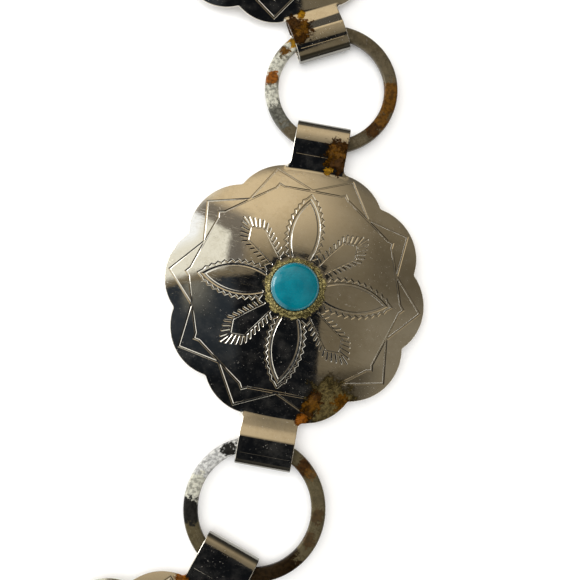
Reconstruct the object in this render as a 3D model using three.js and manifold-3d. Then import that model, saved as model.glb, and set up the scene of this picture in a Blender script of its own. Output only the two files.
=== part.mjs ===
// A concho belt: twelve domed, scalloped conchos of nickel silver, each with a turquoise cabochon in a
// raised bezel. A flat ring links each concho to the next, held in tabs that fold over it and tuck
// back under the concho's rim. The belt lies face up in a closed loop, fastened with a flat hook.
// Units are millimetres. The loop lies in XY with its fastening at +Y, and +Z is up from the table.

import * as THREE from 'three';
import { mergeVertices } from 'three/addons/utils/BufferGeometryUtils.js';
import Module from 'manifold-3d';

const wasm = await Module();
wasm.setup();

// Concho sizes
const conchoRadius = 24.2; // centre to the crown of a scallop
const scallopCount = 10;
const scallopDepth = 1.9; // crown of a scallop to the notch beside it
const sheet = 0.8;
const domeRise = 5.0; // rim to crown on the underside
const tuckGap = 0.2; // between a tab's tucked end and the rim above it

// Stone and setting sizes
const stoneRadius = 4.27;
const stoneGirdle = 1.7; // height of the stone's straight side
const stoneDome = 1.7; // girdle to the top of the stone
const stoneGap = 0.25; // round and under the stone in its setting
const bezelWall = 0.45;
const bezelHeight = 1.6; // above the setting's floor

// Ring, tab and hook sizes
const ringRadius = 12.7;
const ringBand = 2.65; // width of the ring's flat face
const ringThickness = 1.5;
const tabWidth = 10.1;
const tabPlay = 0.4; // between the ring's inner edge and the fold of a tab
const foldGap = 0.3; // over and under the ring inside a fold
const ringStandoff = 2.6; // scallop crown to the ring's outer edge
const crestLead = 0.6; // how far before the ring's edge a tab has reached its full height
const rootLap = 0.9; // how far a tab's root is let into the concho
const rootInset = 0.12; // how far the let-in root stays inside the sheet
const tuckLength = 2.4; // how far a tab's end reaches in under the rim
const hookBridge = 14.0; // clear length of the hook between its two rings
const hookReturn = 6.0; // length of the hook's open lip under the ring
const hookEye = 1.2; // solid land that closes the hook's eye

// Lay of one half of the loop, from the hook to the far ring. Each row is one concho: the turn in degrees
// at the ring before it, and how far off nominal the ring after it sits, as shares of the ring's band.
const layOfHalf = [
  { turn: 26.4, inward: 0, aside: 0 },
  { turn: 29.2, inward: 0.2, aside: 0.38 },
  { turn: 27.8, inward: 0, aside: 0 },
  { turn: 18.6, inward: 0, aside: 0 },
  { turn: 29.4, inward: 0, aside: 0 },
  { turn: 32.0, inward: 0, aside: 0 },
];

// Facets
const stepsPerScallop = 4;
const foldSteps = 5;
const ringSides = 24;
const bezelSides = 16;
const stoneSides = 12;
const stoneRows = 2;

// Worked out from the sizes above
const rimLift = sheet + tuckGap;
const capRadius = (conchoRadius ** 2 + domeRise ** 2) / (2 * domeRise);
const notchRadius = conchoRadius - scallopDepth;
const halfScallop = Math.PI / scallopCount;
const bendInner = ringThickness / 2 + foldGap;
const bendOuter = bendInner + sheet;
const bendHeight = bendOuter;
const ringInner = ringRadius - ringBand;
const reach = conchoRadius + ringStandoff + ringRadius; // concho centre to ring centre
const bandBack = Math.sqrt(ringInner ** 2 - (tabWidth / 2) ** 2); // ring centre to its band at a tab's side
const bendDepth = Math.sqrt(bendInner ** 2 - (ringThickness / 2) ** 2);
const bendFromRing = bandBack - tabPlay + bendDepth; // ring centre to the centre of a fold
const hookLink = 2 * ringRadius + hookBridge; // ring centre to ring centre across the hook
const bezelInner = stoneRadius + stoneGap;
const bezelOuter = bezelInner + bezelWall;

const nickelSilver = { color: 0xb9ae9c, roughness: 0.22, metalness: 1.0 };
const conchoMaterial = new THREE.MeshStandardMaterial(nickelSilver);
const ringMaterial = new THREE.MeshStandardMaterial({ color: 0xa89a83, roughness: 0.38, metalness: 1.0 });
const hookMaterial = new THREE.MeshStandardMaterial({ color: 0xb3a895, roughness: 0.3, metalness: 1.0 });
const stoneMaterial = new THREE.MeshStandardMaterial({ color: 0x0b8fa3, roughness: 0.18, metalness: 0.0 });

// Height of the concho's underside and face at a distance r from its centre
const capCentre = rimLift + domeRise - capRadius;
const undersideAt = (r) => capCentre + Math.sqrt(capRadius ** 2 - r ** 2);
const faceAt = (r) => capCentre + Math.sqrt((capRadius + sheet) ** 2 - r ** 2);

// Outline of the scalloped edge: one circular arc from notch to notch for each scallop
function scallopedEdge() {
  const chord = notchRadius * Math.sin(halfScallop);
  const rise = conchoRadius - notchRadius * Math.cos(halfScallop);
  const arcRadius = (chord ** 2 + rise ** 2) / (2 * rise);
  const arcCentre = conchoRadius - arcRadius;
  const halfArc = Math.atan2(chord, notchRadius * Math.cos(halfScallop) - arcCentre);
  const points = [];
  for (let scallop = 0; scallop < scallopCount; scallop += 1) {
    const facing = (2 * scallop + 1) * halfScallop;
    for (let step = 0; step < stepsPerScallop; step += 1) {
      const swing = halfArc * ((2 * step) / stepsPerScallop - 1);
      const x = arcCentre + arcRadius * Math.cos(swing);
      const y = arcRadius * Math.sin(swing);
      points.push(new THREE.Vector2(x, y).rotateAround(new THREE.Vector2(), facing));
    }
  }
  return points;
}

// Circle of points in step with the edge, with half as many points
function innerCircle(radius) {
  const count = (scallopCount * stepsPerScallop) / 2;
  return Array.from({ length: count }, (_, i) => {
    const angle = (2 * Math.PI * i) / count;
    return new THREE.Vector2(radius * Math.cos(angle), radius * Math.sin(angle));
  });
}

// Triangles between two loops of points, the outer loop with as many points as the inner or twice as many
function bandTriangles(inner, outer) {
  const triangles = [];
  const many = outer.length / inner.length;
  for (let i = 0; i < inner.length; i += 1) {
    const a = inner[i];
    const b = inner[(i + 1) % inner.length];
    const c = outer[(i * many) % outer.length];
    const d = outer[(i * many + 1) % outer.length];
    const e = outer[(i * many + many) % outer.length];
    triangles.push([a, c, d], [a, d, b]);
    if (many === 2) triangles.push([b, d, e]);
  }
  return triangles;
}

// The dished sheet of a concho: its face, its underside and the cut edge between them
function dishedSheet() {
  const edge = scallopedEdge();
  const loops = [innerCircle(notchRadius * 0.36), innerCircle(notchRadius * 0.72), edge];
  const surfaces = [faceAt, undersideAt].map((heightAt) => {
    const raised = loops.map((loop) => loop.map((p) => new THREE.Vector3(p.x, p.y, heightAt(p.length()))));
    const crown = new THREE.Vector3(0, 0, heightAt(0));
    const fan = raised[0].map((p, i) => [crown, p, raised[0][(i + 1) % raised[0].length]]);
    const bands = raised.slice(1).flatMap((loop, i) => bandTriangles(raised[i], loop));
    return { triangles: [...fan, ...bands], rim: raised[loops.length - 1] };
  });
  const [face, underside] = surfaces;
  const wall = bandTriangles(face.rim, underside.rim);
  const flipped = underside.triangles.map(([a, b, c]) => [a, c, b]);
  return fromTriangles([...face.triangles, ...flipped, ...wall]);
}

function fromTriangles(triangles) {
  const positions = triangles.flat().flatMap((p) => [p.x, p.y, p.z]);
  const geometry = new THREE.BufferGeometry();
  geometry.setAttribute('position', new THREE.Float32BufferAttribute(positions, 3));
  return geometry;
}

// A closed mesh as a solid, its shared vertices merged and its empty triangles left out
function toSolid(geometry) {
  const bare = geometry.index ? geometry.toNonIndexed() : geometry.clone();
  bare.deleteAttribute('normal');
  bare.deleteAttribute('uv');
  const merged = mergeVertices(bare, 1e-5);
  const index = merged.index.array;
  const kept = [];
  for (let i = 0; i < index.length; i += 3) {
    const [a, b, c] = [index[i], index[i + 1], index[i + 2]];
    if (a !== b && b !== c && c !== a) kept.push(a, b, c);
  }
  const vertProperties = new Float32Array(merged.attributes.position.array);
  const mesh = new wasm.Mesh({ numProp: 3, vertProperties, triVerts: new Uint32Array(kept) });
  return new wasm.Manifold(mesh);
}

function toGeometry(solid) {
  const mesh = solid.getMesh();
  const geometry = new THREE.BufferGeometry();
  geometry.setAttribute('position', new THREE.BufferAttribute(new Float32Array(mesh.vertProperties), 3));
  geometry.setIndex(new THREE.BufferAttribute(new Uint32Array(mesh.triVerts), 1));
  geometry.computeVertexNormals();
  return geometry;
}

// A flat profile drawn along the strip and up, given the width of the strip, centred on its middle line
function strip(profile) {
  const geometry = new THREE.ExtrudeGeometry(profile, { depth: tabWidth, bevelEnabled: false, steps: 1 });
  geometry.rotateX(Math.PI / 2);
  geometry.translate(0, tabWidth / 2, 0);
  return geometry;
}

// Points round a fold of the given radius, centred at (x, bendHeight), from its top to its bottom
function foldPoints(x, radius, side) {
  return Array.from({ length: foldSteps + 1 }, (_, i) => {
    const angle = Math.PI / 2 - (Math.PI * i) / foldSteps;
    return new THREE.Vector2(x + side * radius * Math.cos(angle), bendHeight + radius * Math.sin(angle));
  });
}

// A tab: up from the concho's rim, over the ring, round its inner edge and back under the rim
function tabStrip() {
  const bendAt = reach - bendFromRing;
  const top = 2 * bendOuter;
  const crestAt = reach - ringRadius - crestLead;
  const rootAt = notchRadius - rootLap;
  const slope = Math.atan2(top - faceAt(rootAt), crestAt - rootAt);
  const crestUnder = crestAt + sheet * Math.tan(slope / 2);
  const outside = [
    new THREE.Vector2(rootAt, faceAt(rootAt) - rootInset),
    new THREE.Vector2(crestAt, top),
    ...foldPoints(bendAt, bendOuter, 1),
    new THREE.Vector2(notchRadius - tuckLength, 0),
  ];
  const inside = [
    new THREE.Vector2(notchRadius - tuckLength, sheet),
    ...foldPoints(bendAt, bendInner, 1).reverse(),
    new THREE.Vector2(crestUnder, top - sheet),
    new THREE.Vector2(rootAt, undersideAt(rootAt) + rootInset),
  ];
  return strip(new THREE.Shape([...outside, ...inside]));
}

// The bezel cup that is soldered to the crown of the concho
const floorAt = faceAt(bezelOuter) + sheet / 4;
function bezelCup() {
  const lipAt = floorAt + bezelHeight;
  const profile = [
    new THREE.Vector2(0, faceAt(bezelOuter) - sheet / 2),
    new THREE.Vector2(bezelOuter, faceAt(bezelOuter) - sheet / 2),
    new THREE.Vector2(bezelOuter, lipAt),
    new THREE.Vector2(bezelInner, lipAt),
    new THREE.Vector2(bezelInner, floorAt),
    new THREE.Vector2(0, floorAt),
  ];
  return new THREE.LatheGeometry(profile, bezelSides).rotateX(Math.PI / 2);
}

function conchoGeometry() {
  const tab = toSolid(tabStrip());
  const farTab = toSolid(tabStrip().rotateZ(Math.PI));
  const plate = toSolid(dishedSheet()).add(tab).add(farTab);
  return toGeometry(plate.add(toSolid(bezelCup())));
}

function stoneGeometry() {
  const baseAt = floorAt + stoneGap;
  const profile = [new THREE.Vector2(0, baseAt), new THREE.Vector2(stoneRadius, baseAt)];
  for (let row = 0; row <= stoneRows; row += 1) {
    const angle = (Math.PI / 2) * (row / stoneRows);
    const radius = row === stoneRows ? 0 : stoneRadius * Math.cos(angle);
    profile.push(new THREE.Vector2(radius, baseAt + stoneGirdle + stoneDome * Math.sin(angle)));
  }
  return new THREE.LatheGeometry(profile, stoneSides).rotateX(Math.PI / 2);
}

function ringGeometry() {
  const low = bendHeight - ringThickness / 2;
  const high = bendHeight + ringThickness / 2;
  const corners = [
    [ringInner, low],
    [ringRadius, low],
    [ringRadius, high],
    [ringInner, high],
    [ringInner, low],
  ];
  const profile = corners.map(([x, y]) => new THREE.Vector2(x, y));
  return new THREE.LatheGeometry(profile, ringSides).rotateX(Math.PI / 2);
}

// The hook: a strip with a closed eye round the ring at -X and an open lip under the ring at +X
function hookGeometry() {
  const eyeBend = -hookLink / 2 + bendFromRing;
  const lipBend = hookLink / 2 - bendFromRing;
  const top = 2 * bendOuter;
  const eyeInside = -hookLink / 2 + ringRadius + foldGap;
  const outline = new THREE.Shape([
    new THREE.Vector2(eyeInside + hookEye, 0),
    ...foldPoints(eyeBend, bendOuter, -1).reverse(),
    ...foldPoints(lipBend, bendOuter, 1),
    new THREE.Vector2(lipBend - hookReturn, 0),
    new THREE.Vector2(lipBend - hookReturn, sheet),
    ...foldPoints(lipBend, bendInner, 1).reverse(),
    new THREE.Vector2(eyeInside + hookEye, top - sheet),
  ]);
  outline.holes.push(
    new THREE.Path([
      new THREE.Vector2(eyeInside, top - sheet),
      ...foldPoints(eyeBend, bendInner, -1),
      new THREE.Vector2(eyeInside, sheet),
    ]),
  );
  return strip(outline);
}

// Places of the rings and conchos of the right half of the loop, turned about its first ring until its
// last ring lies on the mirror line
function layHalf() {
  let heading = 0;
  let ring = new THREE.Vector2();
  const steps = layOfHalf.map((row) => {
    heading -= THREE.MathUtils.degToRad(row.turn);
    const ahead = new THREE.Vector2(Math.cos(heading), Math.sin(heading));
    const side = new THREE.Vector2(-ahead.y, ahead.x);
    const centre = ring.clone().addScaledVector(ahead, reach);
    ring = centre.clone().addScaledVector(ahead, reach - row.inward * ringBand);
    ring.addScaledVector(side, -row.aside * ringBand);
    return { centre, heading, ring: ring.clone() };
  });
  const wanted = Math.acos(-hookLink / 2 / ring.length());
  const turn = -wanted - Math.atan2(ring.y, ring.x);
  const first = new THREE.Vector2(hookLink / 2, 0);
  const place = (p) => p.clone().rotateAround(new THREE.Vector2(), turn).add(first);
  return steps.map((s) => ({ centre: place(s.centre), heading: s.heading + turn, ring: place(s.ring) }));
}

function namedMesh(name, geometry, material) {
  const mesh = new THREE.Mesh(geometry, material);
  mesh.name = name;
  return mesh;
}

const numbered = (name, number) => `${name}_${String(number).padStart(2, '0')}`;

function buildBelt() {
  const belt = new THREE.Group();
  const conchoShape = conchoGeometry();
  const stoneShape = stoneGeometry();
  const ringShape = ringGeometry();
  const half = layHalf();
  const mirror = (p) => new THREE.Vector2(-p.x, p.y);
  const mirrored = half.map((s) => ({ centre: mirror(s.centre), heading: Math.PI - s.heading })).reverse();
  [...half, ...mirrored].forEach((step, i) => {
    const link = new THREE.Group();
    link.add(namedMesh(numbered('concho', i + 1), conchoShape, conchoMaterial));
    link.add(namedMesh(numbered('turquoise', i + 1), stoneShape, stoneMaterial));
    link.position.set(step.centre.x, step.centre.y, 0);
    link.rotation.z = step.heading;
    belt.add(link);
  });
  const firstRing = new THREE.Vector2(hookLink / 2, 0);
  const halfRings = [firstRing, ...half.map((s) => s.ring)];
  const farRings = halfRings.slice(0, -1).map(mirror).reverse();
  [...halfRings, ...farRings].forEach((centre, i) => {
    const ring = namedMesh(numbered('ring', i + 1), ringShape, ringMaterial);
    ring.position.set(centre.x, centre.y, 0);
    belt.add(ring);
  });
  belt.add(namedMesh('hook', hookGeometry(), hookMaterial));
  return belt;
}

// The belt, moved so that the middle of its footprint is the origin and it stands on z = 0
const belt = buildBelt();
belt.updateMatrixWorld(true);
const footprint = new THREE.Box3().setFromObject(belt, true);
const middle = footprint.getCenter(new THREE.Vector3());
belt.position.set(-middle.x, -middle.y, -footprint.min.z);

const conchoBelt = new THREE.Group();
conchoBelt.add(belt);

export default conchoBelt;
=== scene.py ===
"""A concho belt of nickel silver and turquoise, lying face up in a closed loop on a pale floor.

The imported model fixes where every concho, stone, ring and the hook lie. This script gives each of them
its fine form: conchos formed from a stamped flat blank, toothed bezels, cabochons, flat rings and a
folded hook, with tarnish, rust and scratches in their materials.
"""

from __future__ import annotations

import logging
import math
import sys
from collections.abc import Iterable, Sequence
from dataclasses import dataclass, field, replace
from enum import Enum

import bpy
import numpy as np
from mathutils import Matrix, Vector
from mathutils.geometry import delaunay_2d_cdt


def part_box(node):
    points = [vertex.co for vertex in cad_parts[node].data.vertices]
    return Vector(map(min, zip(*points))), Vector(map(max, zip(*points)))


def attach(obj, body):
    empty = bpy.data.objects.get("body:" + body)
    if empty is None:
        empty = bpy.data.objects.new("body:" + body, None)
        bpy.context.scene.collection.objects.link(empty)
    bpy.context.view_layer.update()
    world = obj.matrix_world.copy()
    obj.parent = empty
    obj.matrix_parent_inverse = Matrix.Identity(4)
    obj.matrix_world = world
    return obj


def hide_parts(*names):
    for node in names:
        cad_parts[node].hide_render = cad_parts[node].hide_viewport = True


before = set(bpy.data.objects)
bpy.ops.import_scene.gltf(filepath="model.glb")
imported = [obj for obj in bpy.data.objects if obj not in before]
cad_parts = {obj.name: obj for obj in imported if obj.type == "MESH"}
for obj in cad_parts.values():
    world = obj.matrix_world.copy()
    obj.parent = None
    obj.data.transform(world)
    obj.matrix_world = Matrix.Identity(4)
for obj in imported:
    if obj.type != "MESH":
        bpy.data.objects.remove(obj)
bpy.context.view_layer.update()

MM = 0.001
WELD_MM = 1e-4  # points closer than this are one
TINY = 1e-9  # lengths below this are none
SHARPEST_CORNER = 0.42  # cosine past which a stamped line's lips spread no farther at a corner
EVEN_ROWS = 0.866  # spacing of the rows in a mesh of even triangles, as a share of the points'
MAP_SPAN_MM = 50.0  # length that one unit of a piece's own map stands for
LOCAL_MAP = "local"
GROOVE_LAYER = "groove"
LOG = logging.getLogger("concho_belt")
Colour = tuple[float, float, float, float]  # red, green and blue in linear light, then opacity
Span = tuple[float, float]  # the values where a soft step starts and ends


# Small tools for numbers


def smoothstep(low: float, high: float, value: np.ndarray) -> np.ndarray:
    """Return 0 below low, 1 above high and a smooth step between.

    Args:
        low: Value where the step starts.
        high: Value where the step ends.
        value: Values to shape.

    Returns:
        The shaped values, from 0 to 1.
    """
    share = np.clip((value - low) / (high - low), 0.0, 1.0)
    return share * share * (3.0 - 2.0 * share)


def soft_min(a: np.ndarray, b: np.ndarray, softness: float) -> np.ndarray:
    """Return the lower of two values, rounded where they cross.

    Args:
        a: First values.
        b: Second values.
        softness: Difference over which the corner is rounded.

    Returns:
        The rounded minimum.
    """
    share = np.maximum(softness - np.abs(a - b), 0.0) / softness
    return np.minimum(a, b) - share * share * softness / 4.0


def soft_max(a: np.ndarray, b: np.ndarray, softness: float) -> np.ndarray:
    """Return the higher of two values, rounded where they cross."""
    return -soft_min(-a, -b, softness)


def polar(radius: float, degrees: float) -> np.ndarray:
    """Return the flat point at a radius and an angle."""
    angle = math.radians(degrees)
    return np.array([radius * math.cos(angle), radius * math.sin(angle)])


def turned(points: np.ndarray, degrees: float) -> np.ndarray:
    """Return flat points turned about the origin."""
    c, s = math.cos(math.radians(degrees)), math.sin(math.radians(degrees))
    return np.asarray(points) @ np.array([[c, s], [-s, c]])


def arc(centre: Sequence[float], radius: float, start: float, end: float, steps: int) -> np.ndarray:
    """Return points along a flat arc.

    Args:
        centre: Centre of the arc.
        radius: Radius of the arc.
        start: First angle in degrees.
        end: Last angle in degrees.
        steps: How many straight steps the arc has.

    Returns:
        One more point than there are steps.
    """
    angles = np.radians(np.linspace(start, end, steps + 1))
    ring = np.stack([np.cos(angles), np.sin(angles)], axis=1)
    return np.asarray(centre, float) + radius * ring


def direction_of(a: np.ndarray, b: np.ndarray) -> float:
    """Return the angle in degrees of the line from a to b."""
    return math.degrees(math.atan2(b[1] - a[1], b[0] - a[0]))


def fillet(centre: np.ndarray, radius: float, start: float, to: float, steps: int) -> np.ndarray:
    """Return points along the shorter arc between two directions.

    Args:
        centre: Centre of the arc.
        radius: Radius of the arc.
        start: First angle in degrees.
        to: Last angle in degrees, give or take full turns.
        steps: How many straight steps the arc has.

    Returns:
        One more point than there are steps.
    """
    turn = (to - start + 180.0) % 360.0 - 180.0
    return arc(centre, radius, start, start + turn, steps)


# Node graphs


class Sock:
    """An output socket that makes Math nodes when it is added, multiplied or compared."""

    def __init__(self, graph: NodeGraph, socket: bpy.types.NodeSocket) -> None:
        """Keep the socket and the graph it belongs to."""
        self.graph = graph
        self.socket = socket

    def math(self, operation: str, *others: Sock | float) -> Sock:
        """Return the result of a Math node on this socket and others.

        Args:
            operation: The Math node's operation.
            others: Further operands, sockets or numbers.

        Returns:
            The Math node's output.
        """
        inputs = {i: value for i, value in enumerate((self, *others))}
        return self.graph.node("ShaderNodeMath", inputs, operation=operation)

    def __add__(self, other: Sock | float) -> Sock:
        """Return the sum."""
        return self.math("ADD", other)

    def __sub__(self, other: Sock | float) -> Sock:
        """Return the difference."""
        return self.math("SUBTRACT", other)

    def __rsub__(self, other: float) -> Sock:
        """Return the difference from a number."""
        return (self * -1.0) + other

    def __mul__(self, other: Sock | float) -> Sock:
        """Return the product."""
        return self.math("MULTIPLY", other)

    def __truediv__(self, other: Sock | float) -> Sock:
        """Return the quotient."""
        return self.math("DIVIDE", other)

    def at_least(self, other: Sock | float) -> Sock:
        """Return the higher of the two."""
        return self.math("MAXIMUM", other)

    def at_most(self, other: Sock | float) -> Sock:
        """Return the lower of the two."""
        return self.math("MINIMUM", other)

    def clamped(self) -> Sock:
        """Return the value held between 0 and 1."""
        return self.at_least(0.0).at_most(1.0)

    def step(self, low: float, high: float) -> Sock:
        """Return a smooth step of the value, which falls where low is above high.

        Args:
            low: Value that gives 0.
            high: Value that gives 1.

        Returns:
            The step, from 0 to 1.
        """
        rising = low < high
        inputs = {"Value": self, "From Min": min(low, high), "From Max": max(low, high)}
        stepped = self.graph.node("ShaderNodeMapRange", inputs, interpolation_type="SMOOTHSTEP")
        return stepped if rising else 1.0 - stepped


class NodeGraph:
    """A node tree under construction: one method makes any node and links its inputs."""

    def __init__(self, tree: bpy.types.NodeTree) -> None:
        """Start from an existing tree, emptied."""
        self.tree = tree
        tree.nodes.clear()

    def make(self, kind: str, inputs: dict, **settings: object) -> bpy.types.Node:
        """Make a node, set its properties and fill its inputs.

        Args:
            kind: The node's type.
            inputs: Input names or indices, each with a Sock, a number, a colour or a vector.
            settings: Properties of the node.

        Returns:
            The node.
        """
        node = self.tree.nodes.new(kind)
        for name, value in settings.items():
            setattr(node, name, value)
        for key, value in inputs.items():
            target = node.inputs[key]
            if isinstance(value, Sock):
                self.tree.links.new(value.socket, target)
            else:
                target.default_value = value
        return node

    def node(
        self, kind: str, inputs: dict | None = None, output: int | str = 0, **settings: object
    ) -> Sock:
        """Make a node and return one of its outputs.

        Args:
            kind: The node's type.
            inputs: As for make.
            output: Index or name of the output wanted.
            settings: Properties of the node.

        Returns:
            The chosen output.
        """
        made = self.make(kind, inputs or {}, **settings)
        return Sock(self, made.outputs[output])

    def noise(self, vector: Sock, scale: float, detail: float, rough: float) -> Sock:
        """Return a noise from 0 to 1.

        Args:
            vector: Coordinates to read.
            scale: Repeats for each unit of the coordinates.
            detail: Octaves of the noise.
            rough: How strongly the fine octaves show.

        Returns:
            The noise's value.
        """
        inputs = {"Vector": vector, "Scale": scale, "Detail": detail, "Roughness": rough}
        return self.node("ShaderNodeTexNoise", inputs)

    def vector(self, operation: str, inputs: dict, output: int | str = 0) -> Sock:
        """Return the result of a Vector Math node."""
        return self.node("ShaderNodeVectorMath", inputs, output, operation=operation)

    def mix(self, share: Sock | float, first: Sock | Colour, second: Sock | Colour) -> Sock:
        """Return a mix of two colours.

        Args:
            share: How much of the second shows.
            first: Colour at 0.
            second: Colour at 1.

        Returns:
            The mixed colour.
        """
        inputs = {0: share, 6: first, 7: second}
        return self.node("ShaderNodeMix", inputs, output=2, data_type="RGBA")

    def transform(self, geometry: Sock, **inputs: Sock | tuple[float, float, float]) -> Sock:
        """Return a geometry moved, turned or scaled."""
        return self.node("GeometryNodeTransform", {"Geometry": geometry, **inputs})

    def principled(self, inputs: dict) -> None:
        """Finish a material's graph with a Principled surface."""
        shader = self.node("ShaderNodeBsdfPrincipled", inputs)
        self.make("ShaderNodeOutputMaterial", {"Surface": shader})


def new_material(name: str) -> tuple[bpy.types.Material, NodeGraph]:
    """Make a material with an empty graph.

    Args:
        name: The material's name.

    Returns:
        The material and its graph.
    """
    material = bpy.data.materials.new(name)
    material.use_nodes = True
    return material, NodeGraph(material.node_tree)


def rgb(red: float, green: float, blue: float) -> Colour:
    """Return an opaque colour in linear light."""
    return (red, green, blue, 1.0)


def dimmed(colour: Colour, share: float) -> Colour:
    """Return an opaque colour at a share of its brightness."""
    return rgb(*(share * part for part in colour[:3]))


# Finishes


@dataclass(frozen=True)
class Grain:
    """A noise with so many repeats in a metre, and the band of its values over which it comes to show."""

    scale: float
    detail: float
    rough: float
    band: Span = (0.0, 1.0)

    def noise(self, place: Sock) -> Sock:
        """Return the plain noise."""
        return place.graph.noise(place, self.scale, self.detail, self.rough)

    def shown(self, place: Sock) -> Sock:
        """Return how strongly the noise shows, from 0 to 1."""
        return self.noise(place).step(*self.band)


BROAD = Grain(160.0, 4.0, 0.55)
FINE = Grain(1400.0, 5.0, 0.65)
SPECKS = Grain(2600.0, 2.0, 0.6, (0.62, 0.76))
SMEARS = Grain(330.0, 5.0, 0.7, (0.42, 0.72))
SCRATCHES = Grain(220.0, 2.0, 0.5, (0.66, 0.74))
PATINA_MOTTLE = Grain(620.0, 4.0, 0.65, (0.35, 0.68))
STAIN_CLOTS = Grain(1500.0, 4.0, 0.6, (0.36, 0.62))
STAIN_PATCHES = Grain(1900.0, 4.0, 0.75, (0.32, 0.54))
CRUST_EDGE = Grain(900.0, 5.0, 0.7)
CRUST_SPOTS = Grain(2300.0, 3.0, 0.6, (0.30, 0.48))
CRUST_TONES = Grain(2100.0, 4.0, 0.75, (0.42, 0.66))
STONE_CLOUDS = Grain(240.0, 4.0, 0.6, (0.3, 0.7))
STONE_SPECKS = Grain(2600.0, 3.0, 0.7, (0.62, 0.75))


class StainTone(Enum):
    """Colours that a stain on the metal may have, in linear light."""

    ORANGE = rgb(0.24, 0.075, 0.005)
    AMBER = rgb(0.120, 0.050, 0.003)
    BROWN = rgb(0.052, 0.021, 0.003)
    UMBER = rgb(0.018, 0.009, 0.002)
    YELLOW = rgb(0.34, 0.17, 0.006)
    OLIVE = rgb(0.21, 0.160, 0.062)
    WORN = rgb(0.57, 0.56, 0.47)
    SILVER = rgb(0.62, 0.62, 0.60)
    DULL = rgb(0.13, 0.128, 0.105)
    SOOT = rgb(0.014, 0.013, 0.011)


@dataclass(frozen=True)
class Stain:
    """A stain at a place on a piece's own map, in millimetres from the piece's centre."""

    along: float
    across: float
    reach: float
    tone: StainTone
    strength: float = 1.0
    ragged: float = 0.7


def turned_stains(stains: Sequence[Stain], degrees: float, strength: float) -> tuple[Stain, ...]:
    """Return stains turned about their piece's centre, for a piece that weathered much the same way.

    Args:
        stains: Stains to start from.
        degrees: Turn about the centre.
        strength: Factor for how strongly they show.

    Returns:
        The turned stains.
    """
    found = []
    for stain in stains:
        along, across = turned(np.array([stain.along, stain.across]), degrees)
        found.append(replace(stain, along=along, across=across, strength=stain.strength * strength))
    return tuple(found)


@dataclass
class Surface:
    """A metal surface under construction: what it reads, and its looks as layers are laid on it."""

    place: Sock  # object coordinates, in metres
    local: Sock  # the piece's own map, in millimetres
    broad: Sock
    fine: Sock
    colour: Sock
    roughness: Sock
    metal: Sock
    height: Sock

    def lay(
        self,
        tone: Sock | Colour,
        share: Sock,
        dulled: Sock | None = None,
        rougher: Sock | None = None,
        raised: Sock | None = None,
    ) -> None:
        """Lay a tone over the surface.

        Args:
            tone: The layer's colour.
            share: How much of the colour shows.
            dulled: How much of the metal it hides.
            rougher: What it adds to the roughness.
            raised: What it adds to the height.
        """
        self.colour = self.place.graph.mix(share, self.colour, tone)
        if dulled is not None:
            self.metal = self.metal * (1.0 - dulled)
        if rougher is not None:
            self.roughness = self.roughness + rougher
        if raised is not None:
            self.height = self.height + raised


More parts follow.
